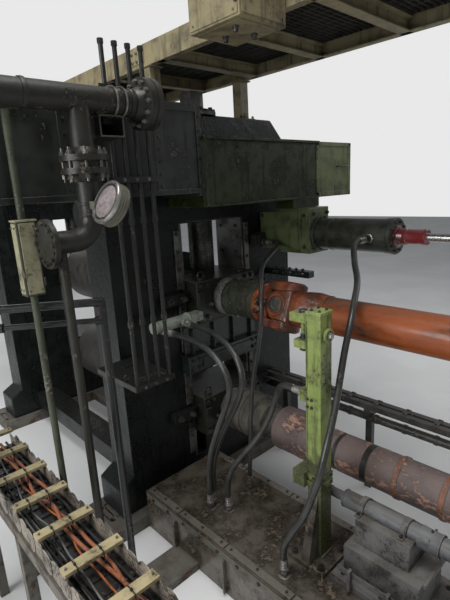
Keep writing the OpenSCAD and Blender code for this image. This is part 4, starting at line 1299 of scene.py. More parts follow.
    def end_caps(self) -> None:
        """Covers over the roll ends on the far side, and the seal rings' bolts on the drive side."""
        caps = Form()
        heads: list[Place] = []
        for z in (TOP_Z, BOTTOM_Z):
            caps.turned((0, 1.6, z), BACK,
                        [(0, 0.172), (0.045, 0.172), (0.055, 0.162), (0.055, 0.12), (0.064, 0.11),
                                            (0.064, 0), (0.030, 0)], 48, bore=0.147)
            heads += ring((0, 1.655, z), BACK, 0.144, 8, 22.5)
        caps.piece("bearing_caps", Surface.CHOCK)
        for z in (TOP_Z, BOTTOM_Z):
            heads += ring((0, low("seal_rings").y, z), FRONT, 0.158, 10, 18)
        self.bolts.set("bearing_cap_bolts", heads, 0.020)

    def beam_bolts(self) -> None:
        """Bolts, the plate and the ribbed apron of the beam across the drive-side window."""
        a, b = ends("window_beam")
        spots = grid((-0.33, -0.40, 0.33, 0.40), a.y, (a.z + 0.04, b.z - 0.04), FRONT)
        self.bolts.set("window_beam_bolts", spots, 0.030, shank=0.008)
        form = Form().box((-0.30, a.y - 0.012, a.z + 0.03), (0.30, a.y, b.z - 0.03))
        front, top, foot = a.y + 0.060, b.z + 0.262, b.z - 0.004
        form.box((-0.44, front, foot), (0.44, front + 0.012, top))
        form.box((-0.44, front - 0.025, top - 0.012), (0.44, front + 0.002, top))
        for x in (-0.36, -0.12, 0.12, 0.36):
            form.box((x - 0.006, front - 0.030, foot), (x + 0.006, front + 0.002, top - 0.010))
        form.piece("window_beam_plate", Surface.TEAL, bevel=0.002)


def bulge(part: float, power: float) -> float:
    """A sine or cosine of a rounded square, which is a circle's at power 2."""
    return math.copysign(abs(part) ** (2 / power), part)


@dataclass
class DriveLine:
    """The couplings and spindles, whose upper and lower pieces turn with the top and the bottom roll."""

    bolts: Fasteners
    joint_y: float = -2.303
    joint_turn: float = 20.0
    swing: float = 0.192
    ear_r: float = 0.110
    ear_in: float = 0.112
    tube_r: float = 0.142

    def build(self) -> None:
        """Makes the joint, the flanges' bolts and the tubes' bands."""
        flange = high("flange_yoke").y
        tube = low("tube_yoke").y
        lean = math.radians(self.joint_turn)
        self.centre = Vector((0, self.joint_y, TOP_Z))
        self.upright = Vector((math.sin(lean), 0, math.cos(lean)))
        self.level = Vector((math.cos(lean), 0, -math.sin(lean)))
        aim = self.yoke("flange_yoke", flange, -1, self.upright, [
            (0, 0.165, 0.165, 2), (0.036, 0.165, 0.165, 2), (0.042, 0.158, 0.158, 2),
            (0.046, 0.148, 0.136, 2.2), (0.075, 0.166, 0.134, 2.6), (0.115, 0.184, 0.130, 3.2),
            (0.150, 0.184, 0.126, 3.6)])
        base = Vector((0, flange, TOP_Z))
        free = [(spot, way) for spot, way in ring(base, aim, 0.152, 12, 15)
                if abs((spot - base).dot(self.upright)) < 0.11]
        self.bolts.set("yoke_flange_bolts", free, 0.024, body="top_line")
        aim = self.yoke("tube_yoke", tube, 1, self.level, [
            (0, 0.133, 0.133, 2), (0.016, 0.136, 0.136, 2), (0.045, 0.142, 0.142, 2),
            (0.100, 0.164, 0.150, 2.2), (0.150, 0.182, 0.146, 2.6), (0.200, 0.186, 0.136, 3.2),
            (0.260, 0.184, 0.126, 3.6)])
        weld = Form().turned((0, tube + 0.002, TOP_Z), aim, [
            (0, 0.131), (0.002, 0.1385), (0.009, 0.1400), (0.014, 0.1375), (0.016, 0.132)], 72, bore=None)
        weld.roughen(0.0022, 60.0, 3).piece("tube_weld", Surface.ORANGE, "top_line")
        self.cross()
        self.caked_grease()
        self.hub()
        self.lower()

    def yoke(self, node: str, back: float, towards: int, across: Vector,
             sections: list[tuple[float, ...]]) -> Vector:
        """Makes one forged yoke with two round ears.

        Args:
            node: the node that it stands for.
            back: the end of its base along the axis.
            towards: -1 if its ears point along -Y, 1 if along +Y.
            across: the direction from one ear to the other.
            sections: distance, half width across the ears, half width along them and squareness.
        Returns:
            The direction from its base to the joint.
        """
        aim = Vector((0, towards, 0))
        beside = aim.cross(across)
        start = Vector((0, back, TOP_Z))
        sides = 48
        angles = [math.tau * k / sides for k in range(sides)]
        rings = []
        for at, wide, thick, power in sections:
            middle, out, over = start + aim * at, across * wide, beside * thick
            rings.append([middle + out * bulge(math.cos(a), power) + over * bulge(math.sin(a), power)
                          for a in angles])
        form = Form().loft(rings)
        base = sections[-1][0] - 0.02 - (self.centre - start).length
        edge = [(-0.126, base), (0.126, base), (0.119, base * 0.55), *arc(self.ear_r, range(-8, 189, 14)),
                (-0.119, base * 0.55)]
        levels = ((self.ear_in, 0.97), (self.ear_in + 0.004, 1.0), (self.swing - 0.020, 1.0),
                  (self.swing - 0.012, 0.965), (self.swing - 0.007, 0.90))
        for side in BOTH:
            form.loft([[self.centre + across * side * level + (beside * u + aim * v) * share for u, v in edge]
                       for level, share in levels])
            form.turned(self.centre + across * side * (self.swing - 0.009), across * side, [
                (0, 0.092), (0.006, 0.090), (0.011, 0.085), (0.011, 0.069), (0.007, 0.063)], 44, bore=0.063)
        form.piece(node + "_forging", Surface.YOKE, "top_line", bevel=0.003, replaces=[node])
        return aim

    def cross(self) -> None:
        """Makes the joint's cross with its four bearing caps and grease nipple."""
        form = Form()
        heads: list[Place] = []
        for aim in (self.upright, -self.upright, self.level, -self.level):
            form.rod(self.centre, self.centre + aim * (self.ear_in + 0.02), 0.050, 28, 0.044)
            form.turned(self.centre + aim * (self.swing - 0.012), aim, [
                (-0.08, 0.047), (0, 0.047), (0, 0.057), (0.008, 0.057), (0.010, 0.054), (0.010, 0.034),
                (0.0070, 0.030), (0.0070, 0.012), (0.0115, 0.009)], 32)
            heads += ring(self.centre + aim * (self.swing - 0.003), aim, 0.044, 4, 45)
        form.ball(self.centre, 0.078, (1, 0.9, 1))
        form.piece("cross_and_caps", Surface.DISC, "top_line", replaces=["joint_cross"])
        self.bolts.set("cap_screws", heads, 0.009, Head.SOCKET, body="top_line")

    def caked_grease(self) -> None:
        """Lumps of rust and caked grease thrown onto the joint's ears and rims."""
        rng = random.Random(21)
        kinds = ((Surface.RUSTY, 16, 0.012, 0.030), (Surface.BLACK, 20, 0.010, 0.026))
        for surface, count, least, most in kinds:
            form = Form()
            for _ in range(count):
                turn = math.radians(rng.uniform(150, 330))
                place = Vector((0, self.joint_y + rng.uniform(0.09, 0.245), TOP_Z))
                place += Vector((math.cos(turn), 0, math.sin(turn))) * rng.uniform(0.135, 0.165)
                radius = rng.uniform(least, most)
                squash = (rng.uniform(0.7, 1.2), rng.uniform(0.9, 1.8), rng.uniform(0.6, 1.1))
                form.ball(place, radius, squash)
            form.roughen(0.010, 42.0, count).piece("caked_" + surface.name.lower(), surface, "top_line")

    def hub(self) -> None:
        """Makes the hub's collars and setscrews."""
        y = high("hub_top").y
        form = Form().turned((0, y - 0.004, TOP_Z), FRONT, [
            (0, 0.149), (0, 0.156), (0.022, 0.156), (0.026, 0.1515), (0.060, 0.1515), (0.064, 0.155),
            (0.078, 0.155), (0.082, 0.149)], 56, bore=None)
        for at in (0.130, 0.185, 0.240):
            form.turned((0, y - at, TOP_Z), FRONT,
                        [(0, 0.149), (0.004, 0.1535), (0.018, 0.1535), (0.022, 0.149)], 56,
                        bore=0.149)
        form.turned((0, y - 0.318, TOP_Z), FRONT, [(0, 0.1675), (0.018, 0.1675), (0.020, 0.1655)], 56,
                    bore=0.160)
        form.piece("hub_collars", Surface.HUB, "top_line")
        self.bolts.set("hub_setscrews", spokes(y - 0.11, TOP_Z, 0.1495, 6), 0.020, Head.SOCKET, Surface.BOLT,
                       "top_line")

    def lower(self) -> None:
        """Makes the lower coupling's bolts, collars and painted bands."""
        end, y = low("coupling_bottom").y, high("coupling_bottom").y
        self.bolts.set("coupling_bolts", ring((0, y - 0.2805, BOTTOM_Z), FRONT, 0.183, 12), 0.022,
                       surface=Surface.BOLT, body="bottom_line", shank=0.004)
        self.bolts.set("coupling_pins", spokes(y - 0.085, BOTTOM_Z, 0.188, 16), 0.014, Head.RIVET,
                       body="bottom_line")
        r = self.tube_r
        for name, at, wide, rise, surface in (("dark_band_a", 0.560, 0.024, -0.0025, Surface.BLACK),
                                              ("dark_band_b", 0.790, 0.046, -0.0010, Surface.BLACK),
                                              ("rust_ring", 1.033, 0.026, 0.0075, Surface.BAND),
                                              ("orange_ring", 1.337, 0.026, 0.0075, Surface.BAND)):
            band = Form().turned((0, end - at, BOTTOM_Z), FRONT, [
                (0, r - 0.01), (0, r + rise), (wide, r + rise), (wide, r - 0.01)], 64, bore=None)
            band.piece(name, surface, "bottom_line")
        drum = Form().turned((0, end - 0.03, BOTTOM_Z), FRONT, [
            (0, 0.176), (0, 0.1805), (0.020, 0.1805), (0.020, 0.176)], 64, bore=None)
        drum.turned((0, end - 0.25, BOTTOM_Z), FRONT, [
            (0, 0.176), (0.003, 0.1812), (0.016, 0.1812), (0.020, 0.176)], 64, bore=None)
        drum.piece("drum_collars", Surface.MAUVE, "bottom_line")


@dataclass
class FrontCovers:
    """Seams, frames and fasteners on the girder, the cover box and its end panel."""

    bolts: Fasteners

    def build(self) -> None:
        """Makes every piece of the covers."""
        self.girder_plates()
        self.strip_bolts()
        self.box_seams()
        self.end_frame()
        self.bracket()

    def girder_plates(self) -> None:
        """Lap seams, a lower edge angle and plate screws on the girder."""
        a, b = ends("girder")
        form = Form()
        heads: list[Place] = []
        face = a.y - 0.005
        for x in (-2.02, -1.50, -0.86):
            form.box((x, face, a.z + 0.02), (x + 0.07, a.y, b.z - 0.02))
            heads += row((x + 0.035, face, a.z + 0.06), (x + 0.035, face, b.z - 0.06), 7, FRONT)
        form.box((a.x, a.y - 0.010, a.z), (b.x, a.y, a.z + 0.035))
        form.box((a.x, a.y - 0.008, b.z - 0.045), (b.x, a.y + 0.03, b.z + 0.006))
        form.piece("girder_seams", Surface.GIRDER, bevel=0.002)
        self.bolts.set("girder_screws", heads, 0.016, Head.RIVET)

    def strip_bolts(self) -> None:
        """Bolts along the flange strip between the girder and the cover box."""
        a, b = ends("cover_strip")
        x = (a.x + b.x) / 2
        self.bolts.set("strip_bolts", row((x, a.y, a.z + 0.07), (x, a.y, b.z - 0.07), 6, FRONT), 0.024,
                       shank=0.005)

    def box_seams(self) -> None:
        """The cover box's folded top edge, hems and screws."""
        a, b = ends("cover_box")
        hem = high("bracket_block").z + 0.08
        form = Form()
        form.box((a.x, a.y - 0.009, b.z - 0.012), (b.x + 0.004, a.y + 0.02, b.z + 0.006))
        form.box((a.x, a.y - 0.006, hem), (b.x, a.y + 0.004, hem + 0.016))
        form.box((a.x + 0.005, a.y - 0.004, hem + 0.016), (a.x + 0.027, a.y, b.z - 0.012))
        form.piece("cover_hems", Surface.COVER, bevel=0.002)
        heads = row((a.x + 0.09, a.y, b.z - 0.055), (b.x - 0.08, a.y, b.z - 0.055), 9, FRONT)
        self.bolts.set("cover_screws", heads, 0.015, Head.RIVET)

    def end_frame(self) -> None:
        """The lighter end panel's frame, its rivets and handle."""
        a, b = ends("cover_end")
        form = Form()
        face = a.y - 0.008
        for x0, x1, z0, z1 in ((a.x, b.x, b.z - 0.03, b.z + 0.004), (a.x, b.x, a.z, a.z + 0.045),
                               (a.x, a.x + 0.03, a.z, b.z), (b.x - 0.03, b.x + 0.004, a.z, b.z)):
            form.box((x0, face, z0), (x1, a.y + 0.004, z1))
        form.piece("panel_frame", Surface.PANEL, bevel=0.002)
        rivets = row((a.x + 0.04, face, a.z + 0.022), (b.x - 0.04, face, a.z + 0.022), 11, FRONT)
        rivets += row((a.x + 0.015, face, a.z + 0.10), (a.x + 0.015, face, b.z - 0.06), 5, FRONT)
        self.bolts.set("panel_rivets", rivets, 0.015, Head.RIVET, Surface.BEIGE)
        x = (a.x + b.x) / 2 + 0.12
        z = (a.z + b.z) / 2 + 0.03
        grip = ((-0.07, 0), (-0.07, 0.035), (-0.055, 0.048), (0.055, 0.048), (0.07, 0.035), (0.07, 0))
        handle = Form().tube([(x + dx, a.y - out, z) for dx, out in grip], 0.006)
        handle.piece("panel_handle", Surface.DARK_BOLT)

    def bracket(self) -> None:
        """Bolted plates on the bracket that carries the shifting cylinder."""
        a, b = ends("bracket_block")
        front, side = a.y - 0.006, a.x - 0.006
        form = Form()
        form.box((a.x + 0.02, front, a.z + 0.03), (b.x - 0.02, a.y, b.z - 0.03))
        form.box((side, a.y + 0.03, a.z + 0.03), (a.x, b.y - 0.03, b.z - 0.03))
        form.piece("bracket_plates", Surface.PANEL, bevel=0.002)
        heads = grid((a.x + 0.04, b.x - 0.04), front, (a.z + 0.05, b.z - 0.05), FRONT)
        heads += grid(side, (a.y + 0.06, b.y - 0.06), (a.z + 0.06, b.z - 0.06), LEFT)
        self.bolts.set("bracket_bolts", heads, 0.026, shank=0.006)


@dataclass
class ShiftGear:
    """The shifting cylinder's ends, rod and fitting, the latch and the slotted bar."""

    bolts: Fasteners
    axis: tuple[float, float] = (0.740, 2.310)
    barrel: float = 0.135
    cap_y: float = -2.760

    def build(self) -> None:
        """Makes every piece of the shifting gear."""
        self.cylinder()
        self.rod()
        self.fitting()
        self.latch()
        self.bar()

    def on_axis(self, y: float) -> Vector:
        """A point on the cylinder's axis."""
        return Vector((self.axis[0], y, self.axis[1]))

    def cylinder(self) -> None:
        """The barrel's collars, end ring and bolts."""
        r = self.barrel
        form = Form().turned(self.on_axis(-2.060), FRONT,
                             [(0, r + 0.020), (0.030, r + 0.020), (0.036, r + 0.014)],
                             56, bore=r)
        form.turned(self.on_axis(-2.20), FRONT, [(0, r), (0.003, r + 0.004), (0.020, r + 0.004), (0.023, r)],
                    56, bore=r)
        form.turned(self.on_axis(self.cap_y + 0.05), FRONT, [
            (0, r), (0.003, r + 0.005), (0.046, r + 0.005), (0.049, r)], 56, bore=r)
        form.piece("cylinder_collars", Surface.CYLINDER)
        cap = Form().turned(self.on_axis(self.cap_y), FRONT, [
            (0, r + 0.005), (0.004, r + 0.009), (0.024, r + 0.009), (0.032, r + 0.002), (0.035, r - 0.045)],
            56)
        cap.piece("cylinder_end", Surface.CYLINDER)
        heads = ring(self.on_axis(self.cap_y - 0.033), FRONT, r - 0.020, 10)
        self.bolts.set("cylinder_end_bolts", heads, 0.020, Head.SOCKET)
        self.bolts.set("cylinder_flange_bolts", ring(self.on_axis(-2.096), FRONT, r + 0.0085, 14), 0.013)

    def rod(self) -> None:
        """The red sleeve, its rings and the bright rod with its nut."""
        start = low("shift_cylinder").y
        form = Form().turned(self.on_axis(start), FRONT,
                             [(-0.01, 0.088), (0.012, 0.088), (0.020, 0.066), (0.060, 0.0600),
                              (0.066, 0.0635), (0.082, 0.0635), (0.088, 0.0575), (0.205, 0.0575),
                              (0.210, 0.061), (0.236, 0.061), (0.240, 0.0565)], 48)
        form.piece("red_sleeve", Surface.RED, replaces=["shift_rod"])
        bar = Form().turned(self.on_axis(-3.02), FRONT,
                            [(0, 0.032), (0.262, 0.032), (0.266, 0.028), (0.306, 0.028), (0.310, 0.025)], 40)
        bar.piece("bright_rod", Surface.CHROME)
        nut = Form().rod(self.on_axis(-3.285), self.on_axis(-3.315), 0.044, 6)
        nut.rod(self.on_axis(-3.278), self.on_axis(-3.286), 0.050, 24)
        nut.piece("rod_nut", Surface.BOLT, bevel=0.003, smooth=False)

    def fitting(self) -> None:
        """The elbow on the cylinder's side and its hose nut."""
        y, z = -2.620, 2.300
        form = Form()
        form.turned((0.612, y, z), LEFT, [(0, 0.040), (0.014, 0.040), (0.016, 0.032), (0.024, 0.032)], 6)
        form.tube(smooth_path([(0.60, y, z), (0.572, y, z), (0.556, y, z - 0.006), (0.552, y, z - 0.02)], 4),
                  0.024, 20)
        form.piece("cylinder_elbow", Surface.SILVER, bevel=0.002)

    def latch(self) -> None:
        """The latch block's plate, eye and silver nut."""
        a, b = ends("latch_block")
        face = -1.552
        form = Form()
        form.box((a.x - 0.006, -1.535, a.z + 0.012), (b.x + 0.006, -1.455, b.z - 0.012))
        form.box((a.x + 0.015, face, a.z + 0.02), (b.x - 0.015, -1.54, b.z - 0.02))
        form.piece("latch_plates", Surface.BLACK, bevel=0.003)
        heads = grid((a.x + 0.022, b.x - 0.022), face, (a.z + 0.030, b.z - 0.028), FRONT)
        self.bolts.set("latch_bolts", heads, 0.012, Head.SOCKET)
        self.bolts.set("latch_nut", grid(0.560, face, 2.230, FRONT), 0.044, Head.STUD, Surface.SILVER,
                       shank=0.004)

    def bar(self) -> None:
        """Bolts in the slotted bar's holes."""
        a, b = ends("slotted_bar")
        x, z = (a.x + b.x) / 2, (a.z + b.z) / 2
        self.bolts.set("bar_bolts", row((a.x, b.y - 0.09, z), (a.x, a.y + 0.06, z), 6, LEFT), 0.020,
                       Head.SOCKET)
        self.bolts.set("bar_tops", row((x, b.y - 0.14, b.z), (x, a.y + 0.10, b.z), 5, UP), 0.024)


# The post's faces and the bed's top.
POST_FACE, POST_SIDE, BED_TOP = -3.022, -0.626, 0.350


def strip(middle: float, half: float, bottom: float, top: float) -> Outline:
    """Outline of an upright strip."""
    return [(middle - half, bottom), (middle + half, bottom), (middle + half, top), (middle - half, top)]


@dataclass
class PostAndBed:
    """The lime support post, its foot, the pedestal with the ram, and the bed's plates and glands."""

    bolts: Fasteners
    pin_at: tuple[float, float] = (-0.570, -2.867)
    boss_at: tuple[float, float] = (-0.560, 1.890)
    ram_at: tuple[float, float] = (-0.450, 0.777)
    lugs: tuple[tuple[float, float], ...] = ((1.795, 1.845), (1.955, 2.005))
    gland_spots: tuple[tuple[float, float], ...] = ((-0.765, -2.100), (-0.715, -2.090), (-0.860, -2.910),
                                                    (-0.390, -2.170), (-0.690, -2.225))

    def build(self) -> None:
        """Makes every piece of the post, pedestal and bed."""
        self.boss()
        self.lug_pin()
        self.post_plates()
        self.foot()
        self.pedestal()
        self.ram()
        self.bed_plates()
        self.glands()

    def boss(self) -> None:
        """The round boss on the post's right face with its bolt."""
        x, z = self.boss_at
        form = Form().turned((x, POST_FACE + 0.002, z), FRONT, [
            (0, 0.0435), (0.020, 0.0435), (0.024, 0.040), (0.024, 0.031), (0.018, 0.030)])
        form.piece("post_boss", Surface.LIME)
        self.bolts.set("post_boss_bolt", grid(x, POST_FACE - 0.018, z, FRONT), 0.030, surface=Surface.SILVER)

    def lug_pin(self) -> None:
        """The pin through the post's two lugs, with its head, washers and nut."""
        x, y = self.pin_at
        (lower, lower_top), (upper, upper_top) = self.lugs
        form = Form().rod((x, y, lower - 0.03), (x, y, upper_top + 0.012), 0.0175, 24)
        for z, aim, outline in (
                (upper_top, UP, [(0, 0.033), (0.005, 0.033), (0.006, 0.028), (0.018, 0.028), (0.022, 0.024)]),
                (lower_top, UP, [(0, 0.028), (0.006, 0.028), (0.007, 0.022), (0.030, 0.022), (0.032, 0)]),
                (upper, DOWN, [(0, 0.026), (0.010, 0.026), (0.012, 0.020)])):
            form.turned((x, y, z), aim, outline, 28)
        form.rod((x, y, lower), (x, y, lower - 0.024), 0.030, 6)
        form.piece("lug_pin", Surface.DARK_BOLT, bevel=0.0015)

    def post_plates(self) -> None:
        """The post's welded edges, top plate and clamp bolts."""
        form = Form()
        clamps = (0.905, 0.955)
        side = -0.632
        form.box((POST_SIDE, POST_FACE - 0.005, 2.012), (-0.504, -2.916, 2.035))
        form.box((-0.622, -2.925, 2.002), (-0.520, -2.796, 2.009))
        for z in clamps:
            form.box((side, POST_FACE - 0.006, z - 0.016), (-0.498, -2.918, z + 0.016))
        form.box((POST_SIDE, POST_FACE - 0.003, 0.40), (-0.618, POST_FACE + 0.020, 1.995))
        form.piece("post_plates", Surface.LIME, bevel=0.003)
        heads = grid((-0.605, -0.525), POST_FACE - 0.006, clamps, FRONT)
        heads += grid(side, -2.972, clamps, LEFT)
        heads += grid(low("support_post").x, (-2.985, -2.955), (1.455, 1.505), LEFT)
        heads += grid((-0.600, -0.530), (-3.000, -2.944), 2.035, UP)
        self.bolts.set("post_bolts", heads, 0.015)
        beads = Form()
        for y, z in itertools.product((POST_FACE, -2.922), (1.03, 1.55)):
            beads.tube([(-0.621, y + 0.001, z + 0.02 * k) for k in range(22)], 0.005, 8)
        beads.roughen(0.0016, 70.0, 5).piece("post_welds", Surface.LIME)

    def foot(self) -> None:
        """Bolts and weld beads of the post's foot."""
        a, b = ends("post_foot")
        spots = grid((a.x + 0.035, b.x - 0.035), (a.y + 0.035, b.y - 0.035), 0.380, UP)
        self.bolts.set("foot_bolts", spots, 0.034, Head.STUD, shank=0.012)
        corners = [(-0.622, -3.024), (-0.508, -3.024), (-0.508, -2.920), (-0.622, -2.920), (-0.622, -3.024)]
        path = [(x0 + (x1 - x0) * k / 6, y0 + (y1 - y0) * k / 6, 0.383)
                for (x0, y0), (x1, y1) in zip(corners, corners[1:]) for k in range(6)]
        Form().tube(path, 0.008, 8).roughen(0.002, 50.0, 9).piece("foot_weld", Surface.BASE)

    def pedestal(self) -> None:
        """The pedestal's plates, saddle straps, bolts and small gussets."""
        a, b = ends("pedestal")
        foot = BED_TOP + 0.028
        form = Form()
        form.box((a.x + 0.02, a.y + 0.02, BED_TOP), (b.x - 0.02, b.y - 0.02, foot))
        form.box((a.x - 0.006, a.y + 0.05, 0.46), (a.x, b.y - 0.05, 0.50))
        form.box((-0.600, a.y + 0.08, 0.585), (-0.300, a.y + 0.10, 0.615))
        form.piece("pedestal_plates", Surface.PEDESTAL, bevel=0.003)
        gussets = Form()
        for y in (-3.66, -3.52, -3.28):
            gussets.prism(strip(y, 0.010, foot, 0.52), "x", a.x - 0.030, a.x + 0.004)
        gussets.piece("pedestal_gussets", Surface.PEDESTAL, bevel=0.002)
        x, z = self.ram_at
        straps = Form()
        heads: list[Place] = []
        bow = [(x + u, z + w) for r, way in ((0.0565, 1), (0.066, -1))
               for u, w in arc(r, range(0, 181, 15))[::way]]
        for y in (-3.800, -3.500, -3.230):
            straps.prism(bow, "y", y - 0.018, y + 0.018)
            for s in BOTH:
                straps.box((x + s * 0.056, y - 0.018, z - 0.012), (x + s * 0.102, y + 0.018, z - 0.002))
                heads.append(((x + s * 0.082, y, z - 0.002), UP))
        straps.piece("ram_straps", Surface.PEDESTAL, bevel=0.0015)
        self.bolts.set("strap_bolts", heads, 0.016, shank=0.005)
        feet = grid((a.x + 0.045, b.x - 0.045), (-3.70, -3.45, -3.20), foot, UP)
        self.bolts.set("pedestal_bolts", feet, 0.030, Head.STUD, shank=0.008)

    def ram(self) -> None:
        """The ram's collars, nose ring and grease nipples."""
        x, z = self.ram_at
        form = Form()
        form.turned((x, -3.700, z), BACK, [(0, 0.0655), (0.010, 0.0655), (0.014, 0.0635), (0.106, 0.0635),
                                           (0.110, 0.0655), (0.120, 0.0655)], 48, bore=0.055)
        form.turned((x, -3.090, z), BACK, [(-0.012, 0.058), (-0.004, 0.058)], 48, bore=0.0552)
        form.turned((x, -2.985, z), BACK, [(0, 0.034), (0.022, 0.034), (0.025, 0.031)], 32, bore=0.028)
        form.piece("ram_collars", Surface.RAM)
        ways = [(math.sin(t), 0, math.cos(t)) for t in (-0.9, 0.0, 0.9)]
        heads = [((x + 0.0635 * way[0], -3.640, z + 0.0635 * way[2]), way) for way in ways]
        self.bolts.set("ram_screws", heads, 0.013, Head.SOCKET)

    def bed_plates(self) -> None:
        """The bed's cover plates, edge strips and screws."""
        a, b = ends("bed")
        form = Form()
        heads: list[Place] = []
        plate = BED_TOP + 0.010
        seams = (a.y + 0.02, -3.06, -2.48, -1.98, b.y - 0.02)
        for y0, y1 in zip(seams, seams[1:]):
            for x0, x1 in ((a.x + 0.012, -0.935), (-0.265, b.x - 0.012)):
                form.box((x0, y0 + 0.006, BED_TOP), (x1, y1 - 0.006, plate))
                heads += grid((x0 + x1) / 2, (y0 + 0.05, (y0 + y1) / 2, y1 - 0.05), plate, UP)
        bottom, top = BED_TOP - 0.055, BED_TOP - 0.008
        form.box((a.x - 0.008, a.y + 0.02, bottom), (a.x, b.y - 0.02, top))
        form.box((a.x + 0.02, a.y - 0.008, bottom), (b.x - 0.02, a.y, top))
        for y in (-3.60, -3.05, -2.50, -1.95):
            form.prism(strip(y, 0.008, 0.02, BED_TOP - 0.06), "x", a.x - 0.030, a.x)
        form.piece("bed_plates", Surface.BASE, bevel=0.002)
        self.bolts.set("bed_screws", heads, 0.018, Head.RIVET)
        z = BED_TOP - 0.030
        edge = row((a.x - 0.008, a.y + 0.12, z), (a.x - 0.008, b.y - 0.12, z), 12, LEFT)
        edge += row((a.x + 0.10, a.y - 0.008, z), (b.x - 0.10, a.y - 0.008, z), 5, FRONT)
        self.bolts.set("bed_edge_bolts", edge, 0.020)

    def glands(self) -> None:
        """Flanges and nuts round the hose glands on the bed."""
        form = Form()
        bore = 0.0242
        for x, y in self.gland_spots:
            form.turned((x, y, BED_TOP), UP, [(0, 0.046), (0.006, 0.046), (0.008, 0.040)], 28, bore=bore)
            nut = [(0, 0.030), (0.014, 0.030), (0.016, 0.027)]
            form.turned((x, y, BED_TOP + 0.016), UP, nut, 6, bore=bore)
        form.piece("gland_nuts", Surface.BOLT)
        heads = [place for x, y in self.gland_spots
                 for place in ring((x, y, BED_TOP + 0.008), UP, 0.0375, 4, 45)]
        self.bolts.set("gland_screws", heads, 0.009, Head.SOCKET)


# A round weld bead's outline.
BEAD = [(0, 0.0595), (0.003, 0.064), (0.013, 0.064), (0.016, 0.0595)]


